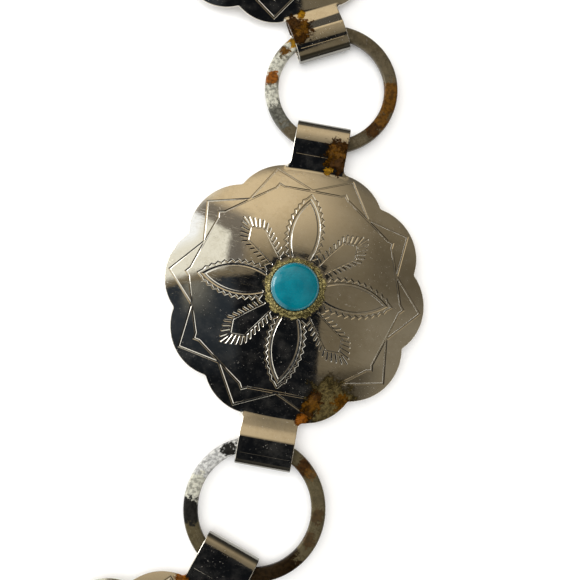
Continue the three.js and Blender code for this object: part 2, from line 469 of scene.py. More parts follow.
@dataclass(frozen=True)
class NickelSilver:
    """Nickel silver with its polish, scratches, tarnish and stains."""

    name: str
    tint: Colour = rgb(0.78, 0.735, 0.65)
    tarnish: Colour = rgb(0.50, 0.43, 0.31)
    dirt: Colour = rgb(0.10, 0.085, 0.06)
    roughness: float = 0.035
    mottling: float = 0.25
    waviness: float = 0.12
    scratch: float = 0.12
    haze: float = 0.022
    residue_radius: float = 0.0  # from here inwards a crust covers the metal
    residue_dark: Colour = rgb(0.060, 0.048, 0.011)
    residue_light: Colour = rgb(0.60, 0.51, 0.21)
    # painted shade: past this place, both ways along the piece, the folds' metal is painted darker to
    # stand in for a dim reflection
    fold_shade_from: float = 0.0  # beyond here, both ways along the piece, the metal is darker
    fold_shade_width: float = 0.5
    fold_shade_cover: float = 0.95
    fold_shade_tone: Colour = rgb(0.24, 0.235, 0.215)
    patina: float = 0.0
    patina_tone: Colour = rgb(0.125, 0.10, 0.062)
    patina_worn: float = 0.62
    stain_thin: float = 0.42  # brightness of a stain where it is thin
    stain_edge: Span = (1.35, 0.3)  # where it fades, as shares of its reach
    stains: tuple[Stain, ...] = ()

    def build(self) -> bpy.types.Material:
        """Make the material.

        Returns:
            The finished material.
        """
        material, graph = new_material(self.name)
        surface = self._bare(graph)
        if self.patina > 0.0:
            self._lay_patina(surface)
        # painted shade on the folded tabs
        if self.fold_shade_from > 0.0:
            self._lay_fold_shade(surface)
        if self.stains:
            self._lay_stains(surface)
        if self.residue_radius > 0.0:
            self._lay_residue(surface)
        height = surface.height + self._scratches(surface.place)
        bump = graph.node("ShaderNodeBump", {"Strength": 0.35, "Distance": 0.0004, "Height": height})
        graph.principled(
            {
                "Base Color": surface.colour,
                "Metallic": surface.metal.clamped(),
                "Roughness": surface.roughness.clamped(),
                "Specular IOR Level": 0.2,
                "Normal": bump,
            }
        )
        return material

    def _bare(self, graph: NodeGraph) -> Surface:
        """Return the metal with its light tarnish, the dirt in its stamped lines, and its specks.

        Args:
            graph: The material's graph.

        Returns:
            The surface before anything is laid on it.
        """
        place = graph.node("ShaderNodeTexCoord", output="Object")
        unwrapped = graph.node("ShaderNodeUVMap", uv_map=LOCAL_MAP)
        local = graph.vector("SCALE", {0: unwrapped, "Scale": MAP_SPAN_MM})
        broad, fine = BROAD.noise(place), FINE.noise(place)
        blotch = (broad * 0.6 + fine * 0.4).step(0.47, 0.66) * self.mottling
        groove = graph.node("ShaderNodeAttribute", {}, "Fac", attribute_name=GROOVE_LAYER)
        dirt = groove.step(0.55, 1.0) * fine.step(0.4, 0.62) * 0.4
        colour = graph.mix(dirt, graph.mix(blotch, self.tint, self.tarnish), self.dirt)
        speck = SPECKS.shown(place) * broad.step(0.38, 0.6)
        roughness = blotch * 0.2 + dirt * 0.3 + fine * 0.03 + self.roughness + speck * 0.3
        metal = (1.0 - dirt * 0.5) * (1.0 - speck * 0.12) * (1.0 - SMEARS.shown(place) * self.haze)
        height = broad * self.waviness + fine * 0.02
        return Surface(place, local, broad, fine, colour, roughness, metal, height)

    def _lay_patina(self, surface: Surface) -> None:
        """Lay an even patina, mottled where it has worn, over the whole piece.

        Args:
            surface: The surface to lay it on.
        """
        film = (surface.broad * 0.7 + surface.fine * 0.3).step(0.22, 0.5) * self.patina
        worn = dimmed(self.patina_tone, self.patina_worn)
        tone = film.graph.mix(PATINA_MOTTLE.shown(surface.place), self.patina_tone, worn)
        surface.lay(tone, film.step(0.0, 0.5), dulled=film * 0.95, rougher=film * 0.12)

    def _lay_fold_shade(self, surface: Surface) -> None:
        """Lay painted shade, a darker metal tone standing in for a dim reflection, on the outer curve of
        the folded tabs.

        Args:
            surface: The surface to lay it on.
        """
        graph = surface.place.graph
        spread = graph.vector("ABSOLUTE", {0: surface.local})
        reach = graph.node("ShaderNodeSeparateXYZ", {"Vector": spread}, "X")
        # painted shade: the darker tone covers the metal on the folds
        share = reach.step(self.fold_shade_from, self.fold_shade_from + self.fold_shade_width) * self.fold_shade_cover
        surface.lay(self.fold_shade_tone, share)

    def _lay_stains(self, surface: Surface) -> None:
        """Lay the stains, each with a ragged edge and clots of fuller colour.

        Args:
            surface: The surface to lay them on.
        """
        place, graph = surface.place, surface.place.graph
        clots = STAIN_CLOTS.shown(place)
        patches = STAIN_PATCHES.shown(place) * 0.5 + 0.5
        for stain in self.stains:
            spot = (stain.along, stain.across, 0.0)
            away = graph.vector("DISTANCE", {0: surface.local, 1: spot}, "Value") / stain.reach
            edge = graph.noise(place, 1250.0 / stain.reach**0.6, 5.0, 0.68)
            worn = away + (edge - 0.5) * (4.4 * stain.ragged + 0.8)
            cover = worn.step(*self.stain_edge) * patches
            thin = dimmed(stain.tone.value, self.stain_thin)
            surface.lay(
                graph.mix(clots, thin, stain.tone.value),
                cover.step(0.0, 0.3) * min(1.0, 2.6 * stain.strength),
                dulled=cover.step(0.1, 0.85) * (0.9 * stain.strength),
                rougher=cover * (0.24 * stain.strength),
                raised=cover * 0.03,
            )

    def _lay_residue(self, surface: Surface) -> None:
        """Lay the green and yellow crust round the setting.

        Args:
            surface: The surface to lay it on.
        """
        place = surface.place
        away = place.graph.vector("LENGTH", {0: surface.local}, "Value")
        worn = away + (CRUST_EDGE.noise(place) - 0.5) * 3.2
        crust = worn.step(self.residue_radius + 0.35, self.residue_radius - 0.45)
        crust = crust * (CRUST_SPOTS.shown(place) * 0.55 + 0.45)
        tone = place.graph.mix(CRUST_TONES.shown(place), self.residue_dark, self.residue_light)
        surface.lay(
            tone,
            crust.step(0.0, 0.35),
            dulled=crust.step(0.1, 0.8) * 0.9,
            rougher=crust * 0.5,
            raised=crust * surface.fine * 0.35,
        )

    def _scratches(self, place: Sock) -> Sock:
        """Return the height of the fine scratches, which run two ways.

        Args:
            place: Object coordinates.

        Returns:
            The height, below zero in a scratch.
        """
        lines = []
        for turn, stretch in ((0.4, 26.0), (1.9, 34.0)):
            inputs = {"Vector": place, "Rotation": (0.0, 0.0, turn), "Scale": (1.0, stretch, 1.0)}
            lines.append(SCRATCHES.shown(place.graph.node("ShaderNodeMapping", inputs)))
        return (lines[0] + lines[1]) * (-0.08 * self.scratch)


@dataclass(frozen=True)
class Turquoise:
    """Smooth polished turquoise."""

    name: str = "turquoise"
    deep: Colour = rgb(0.0, 0.125, 0.17)
    light: Colour = rgb(0.0, 0.185, 0.238)
    fleck: Colour = rgb(0.02, 0.33, 0.36)
    roughness: float = 0.24

    def build(self) -> bpy.types.Material:
        """Make the material.

        Returns:
            The finished material.
        """
        material, graph = new_material(self.name)
        place = graph.node("ShaderNodeTexCoord", output="Object")
        cloud, speck = STONE_CLOUDS.shown(place), STONE_SPECKS.shown(place)
        colour = graph.mix(cloud, self.deep, self.light)
        height = cloud + speck * 0.2
        bump = graph.node("ShaderNodeBump", {"Strength": 0.12, "Distance": 0.0002, "Height": height})
        graph.principled(
            {
                "Base Color": graph.mix(speck * 0.12, colour, self.fleck),
                "Roughness": cloud * 0.06 + self.roughness,
                "Specular IOR Level": 0.12,
                "Coat Weight": 1.0,
                "Coat Roughness": 0.03,
                "Normal": bump,
            }
        )
        return material


# Meshes


@dataclass
class MeshParts:
    """Corners, faces and optional corner normals that become one mesh. Lengths are millimetres."""

    points: np.ndarray
    faces: list[tuple[int, ...]]
    normals: np.ndarray | None = None  # one for each face corner, zero where Blender works it out
    groove: np.ndarray | None = None  # one for each point, 1 at the bottom of a stamped line

    def corner_count(self) -> int:
        """Return how many face corners there are."""
        return sum(len(face) for face in self.faces)

    def joined(self, other: MeshParts) -> MeshParts:
        """Return both sets of parts as one.

        Args:
            other: The parts to add.

        Returns:
            The parts of both.
        """
        shift = len(self.points)
        faces = self.faces + [tuple(i + shift for i in face) for face in other.faces]
        pairs = [(part.normals, part.corner_count()) for part in (self, other)]
        normals = [np.zeros((count, 3)) if found is None else found for found, count in pairs]
        grooves = [np.zeros(len(p.points)) if p.groove is None else p.groove for p in (self, other)]
        points = np.vstack([self.points, other.points])
        return MeshParts(points, faces, np.vstack(normals), np.concatenate(grooves))


@dataclass(frozen=True)
class Placement:
    """Where a piece lies: its centre in the row frame, in millimetres, and its heading in radians."""

    centre: tuple[float, float]
    heading: float = 0.0

    def matrix(self) -> np.ndarray:
        """Return the turn as a 3 by 3 matrix."""
        c, s = math.cos(self.heading), math.sin(self.heading)
        return np.array([[c, -s, 0.0], [s, c, 0.0], [0.0, 0.0, 1.0]])

    def moved(self, points: np.ndarray) -> np.ndarray:
        """Return points of the piece's own frame in the row frame."""
        return points @ self.matrix().T + np.array([*self.centre, 0.0])


def welded(parts: MeshParts) -> MeshParts:
    """Return the parts with points that share a place made one, so that seams are closed.

    Args:
        parts: The parts to weld.

    Returns:
        The welded parts, without faces that have fallen together.
    """
    keys = np.round(parts.points / WELD_MM).astype(np.int64)
    _, first, inverse = np.unique(keys, axis=0, return_index=True, return_inverse=True)
    inverse = inverse.reshape(-1)
    faces: list[tuple[int, ...]] = []
    kept: list[int] = []
    corner = 0
    for face in parts.faces:
        moved = [int(inverse[i]) for i in face]
        stays = [k for k, point in enumerate(moved) if point != moved[k - 1]]
        if len(stays) > 2:
            faces.append(tuple(moved[k] for k in stays))
            kept.extend(corner + k for k in stays)
        corner += len(face)
    normals = None if parts.normals is None else parts.normals[kept]
    groove = None if parts.groove is None else parts.groove[first]
    return MeshParts(parts.points[first], faces, normals, groove)


def dressed_object(
    name: str, parts: MeshParts, place: Placement, material: bpy.types.Material
) -> bpy.types.Object:
    """Make an object at the origin whose mesh lies in its place, with its own map.

    Args:
        name: Name of the piece.
        parts: The piece's mesh in its own frame, in millimetres.
        place: Where the piece lies.
        material: Its finish.

    Returns:
        The new object, linked to the scene.
    """
    parts = welded(parts)
    mesh = bpy.data.meshes.new(name)
    mesh.from_pydata((place.moved(parts.points) * MM).tolist(), [], parts.faces)
    mesh.materials.append(material)
    corners = np.zeros(len(mesh.loops), np.int32)
    mesh.loops.foreach_get("vertex_index", corners)
    unwrapped = mesh.uv_layers.new(name=LOCAL_MAP)
    unwrapped.data.foreach_set("uv", (parts.points[corners, :2] / MAP_SPAN_MM).astype(np.float32).ravel())
    layer = mesh.attributes.new(GROOVE_LAYER, "FLOAT", "POINT")
    groove = np.zeros(len(parts.points)) if parts.groove is None else parts.groove
    layer.data.foreach_set("value", groove.astype(np.float32))
    mesh.shade_smooth()
    if parts.normals is not None:
        mesh.normals_split_custom_set((parts.normals @ place.matrix().T).tolist())
    mesh.update()
    piece = bpy.data.objects.new(name, mesh)
    bpy.context.scene.collection.objects.link(piece)
    return piece


def parts_of(mesh: bpy.types.Mesh) -> MeshParts:
    """Return a mesh in metres as parts in millimetres.

    Args:
        mesh: The mesh to read.

    Returns:
        Its points and faces.
    """
    points = np.zeros(len(mesh.vertices) * 3, np.float32)
    mesh.vertices.foreach_get("co", points)
    faces = [tuple(polygon.vertices) for polygon in mesh.polygons]
    return MeshParts(points.reshape(-1, 3).astype(float) / MM, faces)


def lathe(profile: np.ndarray, sides: int) -> MeshParts:
    """Turn a profile of (radius, height) points about the vertical.

    Args:
        profile: Points from the axis at the bottom to the axis at the top, or a closed wall's round.
        sides: How many steps a full turn has.

    Returns:
        The turned surface, with poles closed where the profile starts or ends on the axis.
    """
    angles = np.linspace(0.0, 2.0 * math.pi, sides, endpoint=False)
    circle = np.stack([np.cos(angles), np.sin(angles)], axis=1)
    points: list[np.ndarray] = []
    rows: list[list[int]] = []
    for radius, height in profile:
        start = sum(len(block) for block in points)
        if radius < TINY:
            points.append(np.array([[0.0, 0.0, height]]))
            rows.append([start] * sides)
        else:
            block = np.column_stack([circle * radius, np.full(sides, height)])
            points.append(block)
            rows.append(list(range(start, start + sides)))
    faces: list[tuple[int, ...]] = []
    for low, high in zip(rows, rows[1:]):
        for i in range(sides):
            j = (i + 1) % sides
            corners = [low[i], low[j], high[j], high[i]]
            face = tuple(c for k, c in enumerate(corners) if c != corners[k - 1])
            faces.append(face)
    return MeshParts(np.vstack(points), faces)


def tube_faces(rows: int, size: int, inverted: bool = False) -> list[tuple[int, ...]]:
    """Return the four-sided faces between neighbouring loops of points.

    Args:
        rows: How many loops there are.
        size: How many points each loop has.
        inverted: Whether the faces look the other way.

    Returns:
        The faces, loop by loop.
    """
    faces: list[tuple[int, ...]] = []
    for row in range(rows - 1):
        near, far = row * size, (row + 1) * size
        for i in range(size):
            j = (i + 1) % size
            face = (near + i, near + j, far + j, far + i)
            faces.append(face[:1] + face[:0:-1] if inverted else face)
    return faces


# The stamped sheet


class Punch(Enum):
    """Stamps for the lines: how wide and how deep each presses, in millimetres."""

    RIM = (0.42, 0.15)
    LEAF = (0.64, 0.22)
    BORDER = (0.40, 0.15)
    PETAL = (0.40, 0.14)
    RAY = (0.48, 0.18)
    FOLD = (0.13, 0.022)


@dataclass(frozen=True)
class StampedLine:
    """A V-shaped line pressed into the face: its course on the flat blank, its width and its depth."""

    course: np.ndarray
    width: float
    depth: float
    closed: bool = False

    def segments(self) -> tuple[np.ndarray, np.ndarray]:
        """Return the starts and the ends of the line's straight stretches.

        Returns:
            The starts, and the ends in the same order.
        """
        starts = self.course if self.closed else self.course[:-1]
        ends = np.roll(self.course, -1, axis=0) if self.closed else self.course[1:]
        return starts, ends

    def lips(self) -> np.ndarray:
        """Return the loop, or for a closed line the outer and inner loops, where the line meets the face.

        Returns:
            Points round an open line, or the outer loop's points and then the inner loop's.
        """
        ahead = np.roll(self.course, -1, axis=0) - self.course
        if not self.closed:
            ahead[-1] = ahead[-2]
        ahead /= np.linalg.norm(ahead, axis=1, keepdims=True)
        behind = np.roll(ahead, 1, axis=0)
        if not self.closed:
            behind[0] = ahead[0]
        corner = ahead + behind
        corner /= np.linalg.norm(corner, axis=1, keepdims=True)
        across = np.stack([-corner[:, 1], corner[:, 0]], axis=1)
        stretch = 1.0 / np.maximum(np.abs((corner * ahead).sum(axis=1)), SHARPEST_CORNER)
        offset = across * (stretch * self.width / 2.0)[:, None]
        if self.closed:
            return np.vstack([self.course + offset, self.course - offset])
        tip = self.course[-1] + ahead[-1] * self.width / 2.0
        tail = self.course[0] - ahead[0] * self.width / 2.0
        return np.vstack([tail, self.course + offset, tip, (self.course - offset)[::-1]])


@dataclass(frozen=True)
class StampPattern:
    """The lines stamped on a concho, as lengths in millimetres from its centre.

    A ten-pointed star and a line with small peaks follow the scallops. Four pointed leaves with serrated
    borders stand on the belt's line and across it, and four rayed petals stand between them.
    """

    scallops: int = 10
    star_tip: float = 23.35
    star_valley: float = 18.85
    line_shoulder: float = 19.25
    line_swell: float = 0.18
    line_peak: float = 20.15
    shoulder_angle: float = 4.6
    leaf_middle: float = 9.9
    leaf_tip: float = 16.7
    leaf_half_width: float = 2.5
    leaf_base: float = 5.6
    border_gap: float = 0.50
    tooth_height: float = 0.55
    tooth_pitch: float = 1.24
    border_tip: float = 17.9
    petal_base: float = 6.0
    petal_shoulder: float = 12.3
    petal_tip: float = 14.0
    petal_half_angle: float = 8.6
    ray_gap: float = 0.1
    short_ray: float = 0.95
    long_ray: float = 1.95
    rays_on_side: int = 7
    rays_on_roof: int = 4
    fold_marks: tuple[float, ...] = (30.16, -25.68)
    mark_reach: float = 4.3

    def lines(self) -> list[StampedLine]:
        """Return every stamped line of one concho.

        Returns:
            The edge's lines, the marks on the tabs, and the four leaves and petals.
        """
        found = self._edge_lines() + self._fold_marks()
        for quarter in range(4):
            leaf = 90.0 * quarter
            found += [self._turned(line, leaf) for line in self._leaf()]
            found += [self._turned(line, leaf + 45.0) for line in self._petal()]
        return found

    @staticmethod
    def _turned(line: StampedLine, degrees: float) -> StampedLine:
        """Return a line turned about the concho's centre."""
        return StampedLine(turned(line.course, degrees), line.width, line.depth, line.closed)

    def _edge_lines(self) -> list[StampedLine]:
        """Return the star and the peaked line inside the scallops.

        Returns:
            Both lines, closed round the concho.
        """
        pitch = 360.0 / self.scallops
        star, peaked = [], []
        for scallop in range(self.scallops):
            facing = (scallop + 0.5) * pitch
            star += [polar(self.star_tip, facing), polar(self.star_valley, facing + pitch / 2.0)]
            slope = self.line_shoulder + self.line_swell
            radii = (self.line_shoulder, slope, self.line_peak, slope, self.line_shoulder)
            for share, radius in zip((-1.0, -0.5, 0.0, 0.5, 1.0), radii):
                peaked.append(polar(radius, facing + self.shoulder_angle * share))
        return [StampedLine(np.array(course), *Punch.RIM.value, True) for course in (star, peaked)]

    def _fold_marks(self) -> list[StampedLine]:
        """Return the faint marks across the tabs, left when the sheet was folded."""
        courses = [np.array([[at, -self.mark_reach], [at, self.mark_reach]]) for at in self.fold_marks]
        return [StampedLine(course, *Punch.FOLD.value) for course in courses]

    def _leaf_side(self, half_width: float, tip: float, steps: int) -> np.ndarray:
        """Return one side of a leaf that points along +X, from its base to its tip.

        Args:
            half_width: Half the leaf's greatest width.
            tip: Distance of its tip from the concho's centre.
            steps: How many stretches the side has.

        Returns:
            The side's points.
        """
        half_length = tip - self.leaf_middle
        radius = (half_length**2 + half_width**2) / (2.0 * half_width)
        along = np.linspace(self.leaf_base, tip, steps + 1)
        drop = radius - np.sqrt(radius**2 - (along - self.leaf_middle) ** 2)
        return np.column_stack([along, half_width - drop])

    def _leaf(self) -> list[StampedLine]:
        """Return the outline and the serrated border of a leaf that points along +X.

        Returns:
            The outline, then the border on each side.
        """
        side = self._leaf_side(self.leaf_half_width, self.leaf_tip, 16)
        outline = np.vstack([side, (side * [1.0, -1.0])[-2::-1]])
        lines = [StampedLine(outline, *Punch.LEAF.value)]
        inner = self._leaf_side(self.leaf_half_width + self.border_gap, self.border_tip, 200)
        steps = np.linalg.norm(np.diff(inner, axis=0), axis=1)
        run = np.concatenate([[0.0], np.cumsum(steps)])
        teeth = round(run[-1] / self.tooth_pitch)
        for mirror in (1.0, -1.0):
            course = []
            for notch in range(2 * teeth + 1):
                at = run[-1] * notch / (2 * teeth)
                point = np.array([np.interp(at, run, inner[:, 0]), np.interp(at, run, inner[:, 1])])
                ahead = np.array([np.interp(at + 0.05, run, inner[:, k]) for k in (0, 1)]) - point
                size = max(float(np.linalg.norm(ahead)), 1e-6)
                outward = np.array([-ahead[1], ahead[0]]) / size
                fade = 1.0 - 0.5 * notch / (2 * teeth)
                lift = self.tooth_height * fade if notch % 2 and notch < 2 * teeth - 1 else 0.0
                course.append((point + outward * lift) * [1.0, mirror])
            lines.append(StampedLine(np.array(course), *Punch.BORDER.value))
        return lines

    def _petal(self) -> list[StampedLine]:
        """Return the outline and the rays of a petal that points along +X.

        Returns:
            The outline, then its rays.
        """
        shoulder = polar(self.petal_shoulder, self.petal_half_angle)
        base = polar(self.petal_base, self.petal_half_angle)
        tip = np.array([self.petal_tip, 0.0])
        outline = np.array([base, shoulder, tip, shoulder * [1, -1], base * [1, -1]])
        rays = np.array(list(self._rays(base, shoulder, tip)))
        middle = np.array([tip + [0.1, 0.0], tip + [self.long_ray + 0.3, 0.0]])
        courses = [*rays, *(rays * [1.0, -1.0]), middle]
        rays_lines = [StampedLine(course, *Punch.RAY.value) for course in courses]
        return [StampedLine(outline, *Punch.PETAL.value), *rays_lines]

    def _rays(
        self, base: np.ndarray, shoulder: np.ndarray, tip: np.ndarray
    ) -> Iterable[tuple[np.ndarray, np.ndarray]]:
        """Yield the rays of one side of a petal, from its base to its roof.

        Args:
            base: Where the side starts, by the setting.
            shoulder: Where the side meets the roof.
            tip: The roof's point.

        Yields:
            The start and the end of each ray.
        """
        side = self.rays_on_side
        total = side + self.rays_on_roof
        for ray in range(total):
            on_side = ray < side
            share = (ray + 0.5) / side if on_side else (ray - side + 0.6) / self.rays_on_roof
            start = base + (shoulder - base) * share if on_side else shoulder + (tip - shoulder) * share
            whole = (ray + 0.5) / total
            lean = math.radians(78.0 - 66.0 * whole**1.6)
            length = self.short_ray + (self.long_ray - self.short_ray) * whole**2.2
            out = np.array([math.cos(lean), math.sin(lean)])
            yield start + out * self.ray_gap, start + out * (self.ray_gap + length)


@dataclass(frozen=True)
class ConchoForm:
    """The form of a concho's sheet: a scalloped dome with two link tabs. Lengths are millimetres."""

    radius: float = 24.2
    scallops: int = 10
    scallop_depth: float = 1.9
    thickness: float = 0.8
    dome_rise: float = 5.0
    rim_lift: float = 1.0
    tab_width: float = 10.1
    bend_at: float = 30.48
    bend_radius: float = 1.85
    tuck_to: float = 19.9
    root_at: float = 22.7
    root_height: float = 2.20
    ramp: float = 0.27
    crease_at: float = 25.3
    crest_ramps: tuple[float, float] = (0.42, 0.29)  # on the +X and the -X side
    crest_softness: float = 0.12
    arch_from: float = 27.9
    arch_power: float = 2.3
    crease_softness: float = 0.06
    root_softness: float = 0.20
    belly: float = 0.15  # how much the tab's middle swells where it leaves the dome
    belly_reach: float = 3.0
    notch_fillet: float = 0.55
    root_fillet: float = 0.9
    corner_fillet: float = 0.7
    edge_round: float = 0.13
    dip_depth: float = 0.15
    dip_from: float = 4.9
    dip_to: float = 7.9
    dip_facing: float = 205.0

    @property
    def notch_radius(self) -> float:
        """Return the distance from the centre to a notch."""
        return self.radius - self.scallop_depth

    @property
    def cap_radius(self) -> float:
        """Return the radius of the sphere that the face follows."""
        return (self.radius**2 + self.dome_rise**2) / (2.0 * self.dome_rise) + self.thickness

    @property
    def blank_end(self) -> float:
        """Return how far the flat blank's tab reaches before it is folded."""
        return self.bend_at + math.pi * self.bend_radius + self.bend_at - self.tuck_to

    def _scallop_arc(self) -> tuple[float, float]:
        """Return the radius of a scallop's arc and its centre's distance from the concho's centre.

        Returns:
            The arc's radius and its centre's distance.
        """
        half = math.pi / self.scallops
        chord = self.notch_radius * math.sin(half)
        rise = self.radius - self.notch_radius * math.cos(half)
        arc_radius = (chord**2 + rise**2) / (2.0 * rise)
        return arc_radius, self.radius - arc_radius

    def blank(self) -> np.ndarray:
        """Return the outline of the flat blank, anticlockwise, with its tabs along X.

        Returns:
            The outline's points, without a repeated end.
        """
        arc_radius, offset = self._scallop_arc()
        half_tab = self.tab_width / 2.0
        pitch = 360.0 / self.scallops
        first = polar(offset, pitch / 2.0)
        reach = arc_radius + self.root_fillet
        root_x = first[0] + math.sqrt(reach**2 - (half_tab + self.root_fillet - first[1]) ** 2)
        root = np.array([root_x, half_tab + self.root_fillet])
        reach = arc_radius + self.notch_fillet
        notch_x = first[0] + math.sqrt(reach**2 - first[1] ** 2)
        end = self.blank_end
        corner = self.corner_fillet
        bend_end = self.bend_at + math.pi * self.bend_radius
        tab_side = np.concatenate(
            [
                np.linspace(end - corner, bend_end, 8, endpoint=False),
                np.linspace(bend_end, self.bend_at, 26, endpoint=False),
                np.linspace(self.bend_at, root_x, 24, endpoint=False),
            ]
        )
        quarter = [
            np.column_stack([[end, end], [0.0, half_tab - corner]]),
            arc((end - corner, half_tab - corner), corner, 0.0, 90.0, 4)[1:],
            np.column_stack([tab_side[1:], np.full(len(tab_side) - 1, half_tab)]),
            fillet(root, self.root_fillet, -90.0, direction_of(root, first), 7),
        ]
        leaving = direction_of(first, root)
        for scallop in range(3):
            facing = pitch * (scallop + 0.5)
            centre = polar(offset, facing)
            notch_angle = pitch * (scallop + 1)
            notch = polar(notch_x, notch_angle)
            arriving = direction_of(centre, notch)
            is_last = scallop == 2
            stop = 90.0 if is_last else arriving
            quarter.append(arc(centre, arc_radius, leaving, stop, 20 if not is_last else 10)[1:])
            if not is_last:
                following = polar(offset, pitch * (scallop + 1.5))
                start, to = direction_of(notch, centre), direction_of(notch, following)
                quarter.append(fillet(notch, self.notch_fillet, start, to, 5)[1:])
                leaving = direction_of(following, notch)
        upper_right = np.vstack(quarter)
        upper_left = (upper_right * [-1.0, 1.0])[-2::-1]
        upper = np.vstack([upper_right, upper_left[:-1]])
        return np.vstack([upper, -upper])

    def _arch(self, along: np.ndarray) -> np.ndarray:
        """Return the height of a tab's top, which falls away in an arch towards its fold.

        Args:
            along: Distance from the centre on the belt's line.

        Returns:
            The height of the upper half of the fold.
        """
        span = self.bend_at + self.bend_radius - self.arch_from
        share = np.clip((along - self.arch_from) / span, 0.0, 1.0) ** self.arch_power
        return self.bend_radius * (1.0 + (1.0 - share) ** (1.0 / self.arch_power))

    def _dip(self, along: np.ndarray, across: np.ndarray, away: np.ndarray) -> np.ndarray:
        """Return the shallow dip beside the setting, deepest on the side it faces.

        Args:
            along: Places along the concho's heading.
            across: Places across it.
            away: Distances from the concho's centre.

        Returns:
            How far the face dips at each place.
        """
        facing = math.radians(self.dip_facing)
        towards = (along * math.cos(facing) + across * math.sin(facing)) / np.maximum(away, 1e-6)
        share = 0.2 + 0.8 * smoothstep(-0.3, 0.6, towards)
        return self.dip_depth * share * (1.0 - smoothstep(self.dip_from, self.dip_to, away))

    def face_height(self, along_signed: np.ndarray, across: np.ndarray) -> np.ndarray:
        """Return the height of the face over a point, up to where a tab folds.

        Args:
            along_signed: Distance from the centre on the belt's line.
            across: Distance from the belt's line.

        Returns:
            The face's height above the table.
        """
        along = np.abs(along_signed)
        away = np.minimum(np.hypot(along, across), self.cap_radius * 0.98)
        crown = self.rim_lift + self.thickness + self.dome_rise
        dome = crown - self.cap_radius + np.sqrt(self.cap_radius**2 - away**2)
        dome -= self._dip(along_signed, across, away)
        middle = 1.0 - np.clip(np.abs(across) / (self.tab_width / 2.0), 0.0, 1.0) ** 2
        fading = 1.0 - smoothstep(self.root_at, self.root_at + self.belly_reach, along)
        lower = self.root_height + (along - self.root_at) * self.ramp
        crease = self.root_height + (self.crease_at - self.root_at) * self.ramp
        ramp = np.where(along_signed > 0.0, *self.crest_ramps)
        upper = crease + (along - self.crease_at) * ramp
        rising = soft_max(lower, upper, self.crease_softness) + self.belly * middle * fading
        top = self._arch(along)
        tab = soft_min(rising, top, self.crest_softness)
        tab = np.where(along > self.bend_at - 0.6, top, tab)
        on_tab = 1.0 - smoothstep(self.tab_width / 2.0, self.tab_width / 2.0 + 1.2, np.abs(across))
        near = smoothstep(self.root_at - 3.0, self.root_at - 1.5, along)
        return dome + (soft_max(dome, tab, self.root_softness) - dome) * on_tab * near

    def root_course(self, shift: float) -> np.ndarray:
        """Return the line where a tab leaves the dome, moved a little along the tab.

        Args:
            shift: How far to move it.

        Returns:
            Points across the tab on the +X side.
        """
        half = self.tab_width / 2.0 - self.edge_round
        along = np.linspace(self.root_at - 2.2, self.root_at + 1.8, 400)
        crown = self.rim_lift + self.thickness + self.dome_rise
        course = []
        for across in np.linspace(-half, half, 25):
            away = np.hypot(along, across)
            dome = crown - self.cap_radius + np.sqrt(self.cap_radius**2 - away**2)
            middle = self.belly * (1.0 - (across / (self.tab_width / 2.0)) ** 2)
            tab = self.root_height + (along - self.root_at) * self.ramp + middle
            course.append((along[int(np.argmin(np.abs(dome - tab)))] + shift, across))
        return np.array(course)

    def formed(self, flat: np.ndarray) -> np.ndarray:
        """Return where points of the flat blank lie once it is domed and its tabs are folded.

        Args:
            flat: Points of the blank.

        Returns:
            Points of the face, in the concho's frame.
        """
        side = np.where(flat[:, 0] < 0.0, -1.0, 1.0)
        along, across = np.abs(flat[:, 0]), flat[:, 1]
        height = self.face_height(flat[:, 0], across)
        turn = np.clip((along - self.bend_at) / self.bend_radius, 0.0, math.pi)
        beyond = np.maximum(along - self.bend_at - math.pi * self.bend_radius, 0.0)
        folded = along > self.bend_at
        x = np.where(folded, self.bend_at + self.bend_radius * np.sin(turn) - beyond, along)
        lower_half = self.bend_radius * (1.0 + np.cos(turn))
        z = np.where(folded, np.where(turn < math.pi / 2.0, self._arch(x), lower_half), height)
        return np.column_stack([side * x, across, z])

    def normals(self, flat: np.ndarray) -> np.ndarray:
        """Return the outward normals of the formed face.

        Args:
            flat: Points of the blank.

        Returns:
            Unit normals.
        """
        step = 2e-3
        run = self.formed(flat + [step, 0.0]) - self.formed(flat - [step, 0.0])
        rise = self.formed(flat + [0.0, step]) - self.formed(flat - [0.0, step])
        cross = np.cross(run, rise)
        return cross / np.linalg.norm(cross, axis=1, keepdims=True)


def inside(points: np.ndarray, outline: np.ndarray) -> np.ndarray:
    """Return which points lie inside a closed outline.

    Args:
        points: Flat points.
        outline: The outline's points.

    Returns:
        True for each point inside.
    """
    result = np.zeros(len(points), bool)
    for a, b in zip(outline, np.roll(outline, -1, axis=0)):
        spans = (a[1] > points[:, 1]) != (b[1] > points[:, 1])
        if spans.any():
            crossing = (b[0] - a[0]) * (points[:, 1] - a[1]) / (b[1] - a[1]) + a[0]
            result ^= spans & (points[:, 0] < crossing)
    return result


def line_pull(points: np.ndarray, lines: Sequence[StampedLine]) -> tuple[np.ndarray, np.ndarray]:
    """Return how deep the stamped lines press each point and how far the nearest one's lip is.

    Args:
        points: Flat points.
        lines: The stamped lines.

    Returns:
        The depth at each point, and its distance past the nearest lip.
    """
    depth = np.zeros(len(points))
    clear = np.full(len(points), np.inf)
    for line in lines:
        starts, ends = line.segments()
        for a, b in zip(starts, ends):
            run = b - a
            share = np.clip(((points - a) @ run) / max(float(run @ run), 1e-12), 0.0, 1.0)
            away = np.linalg.norm(points - a - share[:, None] * run, axis=1)
            half = line.width / 2.0
            np.maximum(depth, line.depth * np.clip(1.0 - away / half, 0.0, 1.0), out=depth)
            np.minimum(clear, away - half, out=clear)
    return depth, clear


